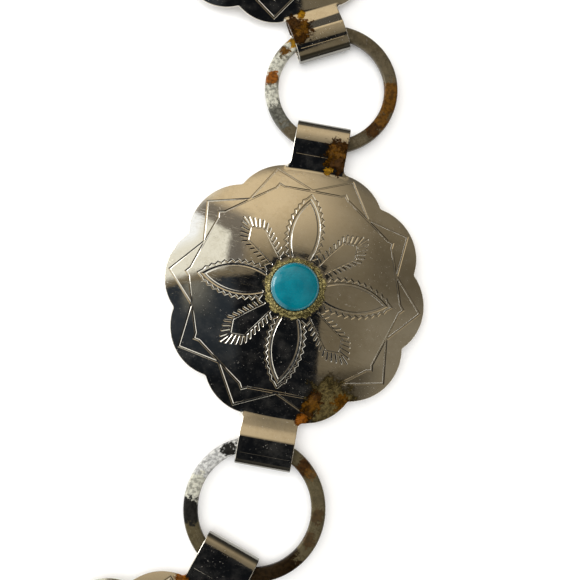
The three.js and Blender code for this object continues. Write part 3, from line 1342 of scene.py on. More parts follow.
@dataclass
class SheetMesher:
    """Cuts a formed sheet into triangles: a stamped face, a rounded cut edge and an underside."""

    form: ConchoForm
    lines: Sequence[StampedLine]
    face_pitch: float = 0.8
    underside_pitch: float = 2.6

    def build(self) -> MeshParts:
        """Return the whole sheet.

        Returns:
            The face, the edge and the underside, with the face's normals worked out from its form.
        """
        outline = self._with_crossings(self.form.blank())
        ahead = np.roll(outline, -1, axis=0) - np.roll(outline, 1, axis=0)
        ahead /= np.linalg.norm(ahead, axis=1, keepdims=True)
        outward = np.stack([ahead[:, 1], -ahead[:, 0]], axis=1)
        rim = outline - outward * self.form.edge_round
        face, face_flat = self._face(rim)
        under_flat, under_triangles = self._cover(rim, self.underside_pitch, ())
        parts = self._with_normals(face, face_flat)
        edge = self._edge(outline, outward)
        under = self._sunk(under_flat, self.form.thickness)
        flipped = [(a, c, b) for a, b, c in under_triangles]
        return parts.joined(edge).joined(MeshParts(under, flipped))

    def _sunk(self, flat: np.ndarray, depth: np.ndarray | float) -> np.ndarray:
        """Return formed points pressed in along the face's normal."""
        down = np.broadcast_to(np.asarray(depth, float), (len(flat),))[:, None]
        return self.form.formed(flat) - self.form.normals(flat) * down

    def _with_crossings(self, outline: np.ndarray) -> np.ndarray:
        """Add the points where the lines across the tabs meet the tabs' sides.

        Args:
            outline: The blank's outline.

        Returns:
            The outline, with a point for each end of a line across a tab.
        """
        half, clear = self.form.tab_width / 2.0, 1e-4
        ends = np.array([end for run in self._cross_lines() for end in (run[0], run[-1])])
        found = []
        for a, b in zip(outline, np.roll(outline, -1, axis=0)):
            found.append(a)
            if abs(abs(a[1]) - half) > TINY or abs(b[1] - a[1]) > TINY:
                continue
            share = (ends[:, 0] - a[0]) / (b[0] - a[0])
            met = (share > clear) & (share < 1.0 - clear) & (ends[:, 1] * a[1] > 0.0)
            found += [a + part * (b - a) for part in np.unique(share[met])]
        return np.array(found)

    def _cross_lines(self) -> list[np.ndarray]:
        """Return where the tabs need straight lines across them, so that they bend evenly.

        Returns:
            The lines, each from one side of its tab to the other.
        """
        form = self.form
        bend_end = form.bend_at + math.pi * form.bend_radius
        crease_height = form.root_height + (form.crease_at - form.root_at) * form.ramp
        near = np.array([-0.35, -0.2, -0.1, 0.0, 0.1, 0.2, 0.35])
        half = form.tab_width / 2.0 - form.edge_round
        across = np.linspace(-half, half, 7)
        found = []
        for side, crest_ramp in zip((1.0, -1.0), form.crest_ramps):
            crest = form.crease_at + (2.0 * form.bend_radius - crease_height) / crest_ramp
            stations = np.concatenate(
                [
                    form.crease_at + near[:5] * 0.6,
                    np.linspace(form.crease_at + 0.6, crest - 0.5, 4),
                    crest + near,
                    np.linspace(crest + 0.7, form.bend_at - 0.5, 5),
                    np.linspace(form.bend_at, bend_end, 29),
                ]
            )
            found += [np.column_stack([np.full(7, side * at), across]) for at in stations]
            shifts = (-0.4, -0.22, -0.08, 0.08, 0.22, 0.4)
            found += [form.root_course(shift) * [side, 1.0] for shift in shifts]
        return found

    def _cover(
        self, rim: np.ndarray, pitch: float, lines: Sequence[StampedLine]
    ) -> tuple[np.ndarray, list[tuple[int, ...]]]:
        """Cut the blank inside its rim into triangles that keep the stamped lines.

        Args:
            rim: The outline, a little inside the cut edge.
            pitch: Spacing of the points between the lines.
            lines: Stamped lines to keep.

        Returns:
            Flat points and triangles.
        """
        points: list[np.ndarray] = [rim]
        edges: list[tuple[int, int]] = [(i, (i + 1) % len(rim)) for i in range(len(rim))]
        count = len(rim)

        def add_run(run: np.ndarray, closed: bool) -> None:
            """Add a line of points and the edges between them.

            Args:
                run: The line's points.
                closed: Whether its end meets its start.
            """
            nonlocal count
            points.append(run)
            size = len(run)
            last = size if closed else size - 1
            edges.extend((count + i, count + (i + 1) % size) for i in range(last))
            count += size

        for run in self._cross_lines():
            add_run(run, False)
        for line in lines:
            add_run(line.course, line.closed)
            lips = line.lips()
            if line.closed:
                add_run(lips[: len(line.course)], True)
                add_run(lips[len(line.course) :], True)
            else:
                add_run(lips, True)
        filling = self._filling(rim, pitch, lines)
        points.append(filling)
        flat = np.vstack(points)
        cut = delaunay_2d_cdt([Vector(p) for p in flat], edges, [], 0, 1e-5, False)
        new_flat = np.array([tuple(p) for p in cut[0]])
        for point, given in enumerate(cut[3]):
            if given:
                new_flat[point] = flat[given[0]]
        triangles = np.array(cut[2])
        kept = inside(new_flat[triangles].mean(axis=1), rim)
        return new_flat, [tuple(int(i) for i in triangle) for triangle in triangles[kept]]

    def _filling(self, rim: np.ndarray, pitch: float, lines: Sequence[StampedLine]) -> np.ndarray:
        """Return evenly spread points inside the rim and clear of the stamped lines.

        Args:
            rim: The outline, a little inside the cut edge.
            pitch: Spacing of the points.
            lines: Stamped lines to keep clear of.

        Returns:
            The points, on the flat blank.
        """
        form = self.form
        rows = np.arange(-form.radius, form.radius, pitch * EVEN_ROWS)
        row = np.arange(-form.bend_at, form.bend_at, pitch)
        shifted = [row + (i % 2) * pitch / 2.0 for i in range(len(rows))]
        spread = np.column_stack([np.concatenate(shifted), np.repeat(rows, len(row))])
        spread = spread[inside(spread, rim)]
        spread = spread[np.abs(spread[:, 0]) < form.root_at + 1.5]
        to_rim = np.min(np.linalg.norm(spread[:, None] - rim[None], axis=2), axis=1)
        spread = spread[to_rim > pitch * 0.45]
        if lines:
            _, clear = line_pull(spread, lines)
            spread = spread[clear > pitch * 0.3]
        return spread

    def _face(self, rim: np.ndarray) -> tuple[MeshParts, np.ndarray]:
        """Return the stamped face and its points on the flat blank.

        Args:
            rim: The outline, a little inside the cut edge.

        Returns:
            The formed face, and its points on the blank.
        """
        flat, triangles = self._cover(rim, self.face_pitch, self.lines)
        depth, _ = line_pull(flat, self.lines)
        points = self._sunk(flat, depth)
        deepest = max((line.depth for line in self.lines), default=1.0)
        return MeshParts(points, triangles, groove=depth / deepest), flat

    def _with_normals(self, face: MeshParts, flat: np.ndarray) -> MeshParts:
        """Give the smooth face its exact normals and each stamped flank its own.

        Args:
            face: The face's parts.
            flat: Its points on the flat blank.

        Returns:
            The face with corner normals.
        """
        triangles = np.array(face.faces)
        smooth = self.form.normals(flat)[triangles]
        corners = face.points[triangles]
        cross = np.cross(corners[:, 1] - corners[:, 0], corners[:, 2] - corners[:, 0])
        own = cross / np.maximum(np.linalg.norm(cross, axis=1, keepdims=True), 1e-12)
        pressed = face.groove[triangles]
        lip = (pressed.max(axis=1) > 1e-3)[:, None] & (pressed < 0.3)
        normals = np.where(lip[:, :, None], own[:, None, :], smooth)
        return MeshParts(face.points, face.faces, normals.reshape(-1, 3), face.groove)

    def _edge(self, outline: np.ndarray, outward: np.ndarray) -> MeshParts:
        """Return the rounded cut edge between the face and the underside.

        Args:
            outline: The blank's outline.
            outward: Its outward directions.

        Returns:
            The edge's strips of four-sided faces.
        """
        r, t = self.form.edge_round, self.form.thickness
        profile = [(r, 0.0), (r * 0.3, r * 0.3), (0.0, r), (0.0, t - r), (r * 0.3, t - r * 0.3), (r, t)]
        loops = [self._sunk(outline - outward * inset, depth) for inset, depth in profile]
        return MeshParts(np.vstack(loops), tube_faces(len(loops), len(outline), inverted=True))


# Geometry Nodes


class GeometryRecipe:
    """A Geometry Nodes tree with named lengths as inputs, run once to give a plain mesh."""

    def __init__(self, name: str, lengths: dict[str, float]) -> None:
        """Start a tree whose inputs carry the given names and values.

        Args:
            name: The tree's name.
            lengths: Value of each input, by its name.
        """
        self.name = name
        self.lengths = lengths
        self.tree = bpy.data.node_groups.new(name, "GeometryNodeTree")
        self.graph = NodeGraph(self.tree)
        sides = self.tree.interface
        sides.new_socket("Geometry", in_out="OUTPUT", socket_type="NodeSocketGeometry")
        for label in lengths:
            sides.new_socket(label, in_out="INPUT", socket_type="NodeSocketFloat")
        self.entry = self.graph.make("NodeGroupInput", {})

    def length(self, label: str) -> Sock:
        """Return the socket of a named input."""
        return Sock(self.graph, self.entry.outputs[label])

    def run(self, geometry: Sock, material: bpy.types.Material) -> MeshParts:
        """Finish the tree, run it and return what it makes.

        Args:
            geometry: What the tree makes.
            material: The finish it carries.

        Returns:
            The made mesh, in millimetres.
        """
        whole = self.graph.node("GeometryNodeRealizeInstances", {0: geometry})
        dressed = self.graph.node("GeometryNodeSetMaterial", {"Geometry": whole, "Material": material})
        self.graph.make("NodeGroupOutput", {0: dressed})
        holder = bpy.data.objects.new(self.name, bpy.data.meshes.new(self.name))
        bpy.context.scene.collection.objects.link(holder)
        modifier = holder.modifiers.new(self.name, "NODES")
        modifier.node_group = self.tree
        for item in self.tree.interface.items_tree:
            if item.in_out == "INPUT" and item.name in self.lengths:
                modifier[item.identifier] = float(self.lengths[item.name])
        evaluated = holder.evaluated_get(bpy.context.evaluated_depsgraph_get())
        mesh = bpy.data.meshes.new_from_object(evaluated)
        parts = parts_of(mesh)
        empty = holder.data
        bpy.data.objects.remove(holder)
        bpy.data.meshes.remove(empty)
        bpy.data.meshes.remove(mesh)
        bpy.data.node_groups.remove(self.tree)
        return parts


# Settings, stones, rings and the hook


@dataclass(frozen=True)
class Bezel:
    """The setting of a stone: a cup whose lip leans on the stone, with small teeth round it."""

    inner: float = 4.52
    outer: float = 4.97
    foot: float = 6.35
    floor: float = 6.85
    lip: float = 8.30
    grip: float = 4.31
    teeth: int = 44
    tooth_width: float = 0.46
    tooth_height: float = 0.9
    tooth_thickness: float = 0.22
    lean: float = 0.5
    sides: int = 96

    def build(self, material: bpy.types.Material) -> MeshParts:
        """Return the cup and its teeth.

        Args:
            material: The finish of the concho it stands on.

        Returns:
            The setting, in the concho's frame.
        """
        waist = self.lip - self.tooth_height
        profile = np.array(
            [
                (0.0, self.foot),
                (self.outer + 0.15, self.foot),
                (self.outer, self.foot + 0.45),
                (self.outer, waist - 0.25),
                (self.outer - 0.22, self.lip - 0.25),
                (self.grip + 0.1, self.lip),
                (self.grip, self.lip - 0.08),
                (self.grip, waist),
                (self.inner, waist - 0.2),
                (self.inner, self.floor),
                (0.0, self.floor),
            ]
        )
        return lathe(profile, self.sides).joined(self._teeth(material))

    def _teeth(self, material: bpy.types.Material) -> MeshParts:
        """Return the ring of teeth, each a small wedge that leans on the stone.

        Args:
            material: Finish of the teeth.

        Returns:
            The teeth, in their concho's frame.
        """
        lengths = {
            "ring radius": (self.outer - 0.12) * MM,
            "tooth height": self.tooth_height * MM,
            "tooth width": self.tooth_width * MM,
            "tooth thickness": self.tooth_thickness * MM,
        }
        recipe = GeometryRecipe("bezel_teeth", lengths)
        graph = recipe.graph
        circle = {"Vertices": self.teeth, "Radius": recipe.length("ring radius")}
        ring = graph.node("GeometryNodeMeshCircle", circle)
        wedge_inputs = {"Vertices": 4, "Radius Top": 0.3, "Radius Bottom": 0.7071, "Depth": 1.0}
        wedge = graph.node("GeometryNodeMeshCone", wedge_inputs)
        square = graph.transform(wedge, Rotation=(0.0, 0.0, math.radians(45.0)))
        labels = {"X": "tooth thickness", "Y": "tooth width", "Z": "tooth height"}
        sides = {axis: recipe.length(label) for axis, label in labels.items()}
        size = graph.node("ShaderNodeCombineXYZ", sides)
        tooth = graph.transform(square, Scale=size)
        tooth = graph.transform(tooth, Rotation=(0.0, -self.lean, 0.0))
        position = graph.node("GeometryNodeInputPosition")
        aligned = graph.node("FunctionNodeAlignRotationToVector", {"Vector": position}, axis="X")
        random_scale = graph.node(
            "FunctionNodeRandomValue",
            {"Min": (0.9, 0.82, 0.86), "Max": (1.1, 1.06, 1.1), "Seed": 7},
            data_type="FLOAT_VECTOR",
        )
        placed = graph.node(
            "GeometryNodeInstanceOnPoints",
            {"Points": ring, "Instance": tooth, "Rotation": aligned, "Scale": random_scale},
        )
        middle = (self.lip + 0.12 - self.tooth_height / 2.0) * MM
        return recipe.run(graph.transform(placed, Translation=(0.0, 0.0, middle)), material)


@dataclass(frozen=True)
class Cabochon:
    """A round stone with a straight girdle and a flattened dome."""

    radius: float = 4.27
    foot: float = 7.05
    girdle: float = 1.7
    dome: float = 1.7
    flatness: float = 2.5
    sides: int = 72
    rows: int = 16

    def build(self) -> MeshParts:
        """Return the stone, in its concho's frame.

        Returns:
            The stone's parts.
        """
        profile = [(0.0, self.foot), (self.radius - 0.15, self.foot), (self.radius, self.foot + 0.15)]
        shoulder = self.foot + self.girdle
        for row in range(self.rows + 1):
            angle = math.pi / 2.0 * row / self.rows
            reach = abs(math.cos(angle)) ** (2.0 / self.flatness)
            rise = abs(math.sin(angle)) ** (2.0 / self.flatness)
            radius = 0.0 if row == self.rows else self.radius * reach
            profile.append((radius, shoulder + self.dome * rise))
        return lathe(np.array(profile), self.sides)


@dataclass(frozen=True)
class FlatRing:
    """A ring bent from a flat bar, with softened edges and a fine butt joint."""

    radius: float = 12.7
    band: float = 2.65
    middle: float = 1.85
    thickness: float = 1.5
    edge: float = 0.5
    joint: float = 0.07
    unevenness: float = 0.05
    steps: int = 128

    def build(self, material: bpy.types.Material, joint_at: float, seed: int) -> MeshParts:
        """Return the ring, in its own frame.

        Args:
            material: The ring's finish.
            joint_at: Direction of the joint in degrees.
            seed: Number that sets the ring's own unevenness.

        Returns:
            The ring.
        """
        lengths = {
            "middle radius": (self.radius - self.band / 2.0) * MM,
            "band width": (self.band - 2.0 * self.unevenness) * MM,
            "thickness": self.thickness * MM,
            "edge radius": self.edge * MM,
            "unevenness": self.unevenness * MM,
        }
        recipe = GeometryRecipe("flat_ring", lengths)
        graph = recipe.graph
        gap = self.joint / (self.radius - self.band / 2.0)
        arc_inputs = {
            "Resolution": self.steps,
            "Radius": recipe.length("middle radius"),
            "Start Angle": math.radians(joint_at) + gap / 2.0,
            "Sweep Angle": 2.0 * math.pi - gap,
        }
        path = graph.node("GeometryNodeCurveArc", arc_inputs, mode="RADIUS")
        position = graph.node("GeometryNodeInputPosition")
        wander = graph.node(
            "ShaderNodeTexNoise",
            {"Vector": position, "W": float(seed), "Scale": 95.0, "Detail": 1.0},
            output="Color",
            noise_dimensions="4D",
        )
        centred = graph.vector("SUBTRACT", {0: wander, 1: (0.5, 0.5, 0.5)})
        flat = graph.vector("MULTIPLY", {0: centred, 1: (2.0, 2.0, 0.0)})
        offset = graph.vector("SCALE", {0: flat, "Scale": recipe.length("unevenness")})
        path = graph.node("GeometryNodeSetPosition", {"Geometry": path, "Offset": offset})
        bar = graph.node(
            "GeometryNodeCurvePrimitiveQuadrilateral",
            {"Width": recipe.length("band width"), "Height": recipe.length("thickness")},
        )
        corner = {"Curve": bar, "Count": 4, "Radius": recipe.length("edge radius")}
        rounded = graph.node("GeometryNodeFilletCurve", corner, mode="POLY")
        ring = graph.node(
            "GeometryNodeCurveToMesh", {"Curve": path, "Profile Curve": rounded, "Fill Caps": True}
        )
        return recipe.run(graph.transform(ring, Translation=(0.0, 0.0, self.middle * MM)), material)


@dataclass(frozen=True)
class BeltHook:
    """The flat hook: a folded strip with a closed eye round one ring and an open lip for the other."""

    width: float = 10.1
    thickness: float = 0.8
    half_length: float = 12.526
    bend_radius: float = 1.85
    ring_inside: float = 6.7
    eye_land: float = 1.2
    eye_turn: float = 0.45
    eye_gap: float = 0.05
    lip_length: float = 6.0
    edge: float = 0.2
    bend_steps: int = 18

    def path(self) -> np.ndarray:
        """Return the middle line of the strip, seen from the side, from the eye's end to the lip's end.

        Returns:
            Points as (along, up).
        """
        half = self.thickness / 2.0
        radius = self.bend_radius - half
        bend = self.half_length - self.bend_radius
        low, high = half, 2.0 * self.bend_radius - half
        land = -self.ring_inside + self.eye_land - half
        turn = self.eye_turn
        points = [(land, high - half - self.eye_gap), (land, low + turn)]
        points += [tuple(p) for p in arc((land - turn, low + turn), turn, 0.0, -90.0, 5)[1:]]
        points += [tuple(p) for p in arc((-bend, self.bend_radius), radius, 270.0, 90.0, self.bend_steps)]
        points += [(x, high) for x in np.linspace(-bend, bend, 20)[1:-1]]
        points += [tuple(p) for p in arc((bend, self.bend_radius), radius, 90.0, -90.0, self.bend_steps)]
        points += [(x, low) for x in np.linspace(bend, bend - self.lip_length, 8)[1:]]
        return np.array(points)

    def build(self) -> MeshParts:
        """Return the hook, in its own frame with its length along X.

        Returns:
            The hook's parts.
        """
        path = self.path()
        ahead = np.gradient(path, axis=0)
        ahead /= np.linalg.norm(ahead, axis=1, keepdims=True)
        across = np.stack([-ahead[:, 1], ahead[:, 0]], axis=1)
        section = self._section()
        loops = []
        for point, side in zip(path, across):
            plane = point + section[:, 1:] * side
            loops.append(np.column_stack([plane[:, 0], section[:, 0], plane[:, 1]]))
        size, last = len(section), (len(path) - 1) * len(section)
        ends = [tuple(range(size))[::-1], tuple(last + i for i in range(size))]
        return MeshParts(np.vstack(loops), tube_faces(len(path), size) + ends)

    def _section(self) -> np.ndarray:
        """Return the strip's rounded section, as (across, up) points.

        Returns:
            The section's points, in order.
        """
        x, y, r = self.width / 2.0 - self.edge, self.thickness / 2.0 - self.edge, self.edge
        corners = [((x, y), 0.0), ((-x, y), 90.0), ((-x, -y), 180.0), ((x, -y), 270.0)]
        return np.vstack([arc(centre, r, start, start + 90.0, 4) for centre, start in corners])


# The studio


@dataclass(frozen=True)
class StudioSky:
    """What the metal mirrors: a warm ceiling, a dark card overhead, a window and pale walls.

    Directions are slopes: how far a line leads sideways for each unit it climbs, right and up in the
    picture. Each part of the sky comes in softly over its spans of slopes.
    """

    turn: float
    warm: Colour = rgb(0.62, 0.50, 0.325)
    khaki: Colour = rgb(0.165, 0.138, 0.093)
    low_light: Colour = rgb(0.112, 0.103, 0.083)
    pale: Colour = rgb(1.0, 0.99, 0.97)
    left_light: Colour = rgb(1.3, 1.3, 1.24)
    wall: Colour = rgb(0.085, 0.078, 0.066)
    window: Colour = rgb(0.97, 0.97, 0.88)
    window_edge: Colour = rgb(1.18, 1.25, 1.35)
    frame_tone: Colour = rgb(0.15, 0.14, 0.13)
    shade: Colour = rgb(0.006, 0.007, 0.009)
    grey: Colour = rgb(0.027, 0.034, 0.044)
    glow: Colour = rgb(0.20, 0.20, 0.18)
    walls_from: Span = (1.5, 2.0)
    left_wall: Span = (-0.25, -0.75)
    warm_right: Span = (0.88, -0.2)
    warm_up: Span = (0.18, 0.95)
    shaded_right: Span = (0.5, 0.85)
    bright_right: Span = (0.4, 0.85)
    bright_up: Span = (0.35, 0.95)
    low_right: Span = (0.4, 0.8)
    low_up: Span = (0.2, -0.2)
    near_right: Span = (0.98, 0.55)
    near_up: Span = (-0.46, -0.60)
    window_right: float = -0.52
    window_foot: Span = (0.28, 0.37)
    window_lean: float = 0.83
    window_head: float = 0.222
    frame_edge: Span = (0.21, 0.10)
    pane_edge: Span = (0.02, -0.03)
    corner_right: Span = (-0.85, -1.02)
    corner_up: Span = (0.62, 0.8)
    card_right: Span = (0.212, 0.188)
    card_up: Span = (0.26, 0.22)
    grey_right: Span = (-0.38, -0.5)
    grey_up: Span = (-0.75, -0.1)
    glow_right: Span = (-0.55, -0.85)
    glow_up: Span = (-0.15, 0.22)
    glow_end: Span = (-1.1, -0.95)

    def build(self) -> None:
        """Make the world and give it to the scene."""
        world = bpy.data.worlds.new("studio")
        bpy.context.scene.world = world
        world.use_nodes = True
        graph = NodeGraph(world.node_tree)
        direction = graph.node("ShaderNodeTexCoord", output="Generated")
        turned_inputs = {"Vector": direction, "Rotation": (0.0, 0.0, -self.turn)}
        faced = graph.node("ShaderNodeMapping", turned_inputs)
        split = graph.make("ShaderNodeSeparateXYZ", {0: faced})
        across, along, climb = (Sock(graph, output) for output in split.outputs)
        climb = climb.at_least(0.06)
        right, up = across / climb, along / climb
        colour = self._card(right, up, self._window(right, up, self._ceiling(right, up)))
        steep = (right * right + up * up).math("SQRT")
        leftward = (right / steep.at_least(0.01)).step(*self.left_wall)
        walls = graph.mix(leftward, self.wall, self.left_light)
        colour = graph.mix(steep.step(*self.walls_from), colour, walls)
        seen = graph.node("ShaderNodeLightPath", output="Is Camera Ray")
        colour = graph.mix(seen, colour, self.pale)
        background = graph.node("ShaderNodeBackground", {"Color": colour, "Strength": 1.0})
        graph.make("ShaderNodeOutputWorld", {"Surface": background})

    def _ceiling(self, right: Sock, up: Sock) -> Sock:
        """Return the ceiling: warm light up and to the left, and khaki shade elsewhere.

        Args:
            right: How far a direction points to the picture's right.
            up: How far it points up the picture.

        Returns:
            The ceiling's colour.
        """
        near = up.step(*self.near_up) * right.step(*self.near_right)
        bright = up.step(*self.bright_up) * right.step(*self.bright_right)
        shares = {
            self.warm: right.step(*self.warm_right) * up.step(*self.warm_up),
            self.khaki: (1.0 - right.step(*self.shaded_right) * 0.27 + bright * 0.5) * (1.0 - near * 0.6),
            self.low_light: up.step(*self.low_up) * right.step(*self.low_right) * (1.0 - near * 0.7),
        }
        vector = right.graph.vector
        warm, khaki, low = (vector("SCALE", {0: c[:3], "Scale": share}) for c, share in shares.items())
        return vector("ADD", {0: vector("ADD", {0: warm, 1: khaki}), 1: low})

    def _window(self, right: Sock, up: Sock, colour: Sock) -> Sock:
        """Lay the window with its sloping head and the dark frame round it over the ceiling.

        Args:
            right: How far a direction points to the picture's right.
            up: How far it points up the picture.
            colour: What is there so far.

        Returns:
            The colour with the window.
        """
        mix = right.graph.mix
        past_side = right - self.window_right
        past_head = up + right * self.window_lean - self.window_head
        above_foot = up.step(*self.window_foot)
        dark = past_side.at_least(past_head * 0.55).step(*self.frame_edge) * above_foot
        pane = past_side.at_least(past_head).step(*self.pane_edge) * above_foot
        corner = right.step(*self.corner_right) * up.step(*self.corner_up)
        framed = mix(dark * 0.9, colour, self.frame_tone)
        return mix(pane, framed, mix(corner, self.window, self.window_edge))

    def _card(self, right: Sock, up: Sock, colour: Sock) -> Sock:
        """Lay the dark card over the rest, with a soft glow where its left end meets the window.

        Args:
            right: How far a direction points to the picture's right.
            up: How far it points up the picture.
            colour: What is there so far.

        Returns:
            The colour with the card.
        """
        mix = right.graph.mix
        cover = right.step(*self.card_right) * up.step(*self.card_up)
        card = mix(right.step(*self.grey_right) * up.step(*self.grey_up), self.shade, self.grey)
        glow = right.step(*self.glow_right) * up.step(*self.glow_up) * right.step(*self.glow_end)
        return mix(cover, colour, mix(glow, card, self.glow))


@dataclass(frozen=True)
class PhotoCamera:
    """The camera, given by its place over the photographed concho, right and up in the picture."""

    place: tuple[float, float, float] = (-2.72, -16.46, 138.95)
    pitch: float = 6.96
    yaw: float = -0.81
    focal_pixels: float = 748.9
    picture_pixels: float = 580.0
    concho_angle: float = -100.35  # the concho's heading in the picture, in degrees

    def turn(self, concho: Placement) -> float:
        """Return the turn in radians from the picture's right to the row frame's +X."""
        return concho.heading - math.radians(self.concho_angle)

    def build(self, concho: Placement) -> bpy.types.Object:
        """Make the camera over a concho.

        Args:
            concho: Where the photographed concho lies.

        Returns:
            The camera, made the scene's own.
        """
        data = bpy.data.cameras.new("photo_camera")
        data.sensor_width = 36.0
        data.lens = self.focal_pixels / self.picture_pixels * data.sensor_width
        data.clip_start = 0.005
        data.clip_end = 20.0
        camera = bpy.data.objects.new("photo_camera", data)
        bpy.context.scene.collection.objects.link(camera)
        turn = Matrix.Rotation(self.turn(concho), 4, "Z")
        tilt = Matrix.Rotation(math.radians(self.yaw), 4, "Y") @ Matrix.Rotation(
            math.radians(self.pitch), 4, "X"
        )
        centre = Matrix.Translation(Vector((*concho.centre, 0.0)) * MM)
        camera.matrix_world = centre @ turn @ Matrix.Translation(Vector(self.place) * MM) @ tilt
        bpy.context.scene.camera = camera
        return camera


@dataclass(frozen=True)
class Studio:
    """The pale floor, the soft light, the sky and the camera."""

    floor_size: float = 6.0
    floor_colour: Colour = rgb(0.93, 0.93, 0.93)
    near_glow: Colour = rgb(0.11, 0.11, 0.11)
    far_glow: Colour = rgb(0.95, 0.94, 0.92)
    glow_span: Span = (0.5, 2.6)
    light_size: float = 1.6
    light_height: float = 1.1
    light_power: float = 17.0
    side_size: float = 0.34
    side_distance: float = 0.75
    side_climb: float = 15.0
    side_bearing: float = 160.0
    side_power: float = 2.2
    camera: PhotoCamera = PhotoCamera()

    def build(self, concho: Placement) -> None:
        """Make the studio.

        Args:
            concho: Where the photographed concho lies.
        """
        bpy.context.scene.view_settings.view_transform = "Standard"
        self._floor()
        turn = self.camera.turn(concho)
        overhead = Vector((0.0, 0.0, self.light_height))
        self._light("soft_light", overhead, self.light_size, self.light_power)
        bearing, climb = math.radians(self.side_bearing) + turn, math.radians(self.side_climb)
        level = self.side_distance * math.cos(climb)
        height = self.side_distance * math.sin(climb)
        place = Vector((level * math.cos(bearing), level * math.sin(bearing), height))
        target = Vector((*concho.centre, 0.0)) * MM
        side = self._light("side_light", target + place, self.side_size, self.side_power, mirrored=True)
        side.rotation_euler = place.to_track_quat("Z", "Y").to_euler()
        StudioSky(turn).build()
        self.camera.build(concho)

    def _floor(self) -> None:
        """Make the floor, which glows more the farther it is, so that it fades into the sky."""
        half = self.floor_size / 2.0
        corners = [(-half, -half, 0.0), (half, -half, 0.0), (half, half, 0.0), (-half, half, 0.0)]
        mesh = bpy.data.meshes.new("floor")
        mesh.from_pydata(corners, [], [(0, 1, 2, 3)])
        material, graph = new_material("floor")
        place = graph.node("ShaderNodeTexCoord", output="Object")
        away = graph.vector("LENGTH", {0: place}, "Value")
        graph.principled(
            {
                "Base Color": self.floor_colour,
                "Roughness": 0.9,
                "Specular IOR Level": 0.1,
                "Emission Color": graph.mix(away.step(*self.glow_span), self.near_glow, self.far_glow),
                "Emission Strength": 1.0,
            }
        )
        mesh.materials.append(material)
        floor = bpy.data.objects.new("floor", mesh)
        bpy.context.scene.collection.objects.link(floor)

    @staticmethod
    def _light(
        name: str, place: Vector, size: float, power: float, mirrored: bool = False
    ) -> bpy.types.Object:
        """Make a square soft light.

        Args:
            name: Name of the light.
            place: Where it stands, in metres.
            size: Its side, in metres.
            power: Its power, in watts.
            mirrored: Whether the metal mirrors it.

        Returns:
            The light, facing down.
        """
        data = bpy.data.lights.new(name, "AREA")
        data.shape = "SQUARE"
        data.size = size
        data.energy = power
        light = bpy.data.objects.new(name, data)
        light.location = place
        light.visible_glossy = mirrored
        bpy.context.scene.collection.objects.link(light)
        return light


# The belt


class Slot(Enum):
    """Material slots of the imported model."""

    CONCHO = "concho_metal"
    RING = "ring_metal"
    HOOK = "hook_metal"
    STONE = "turquoise"


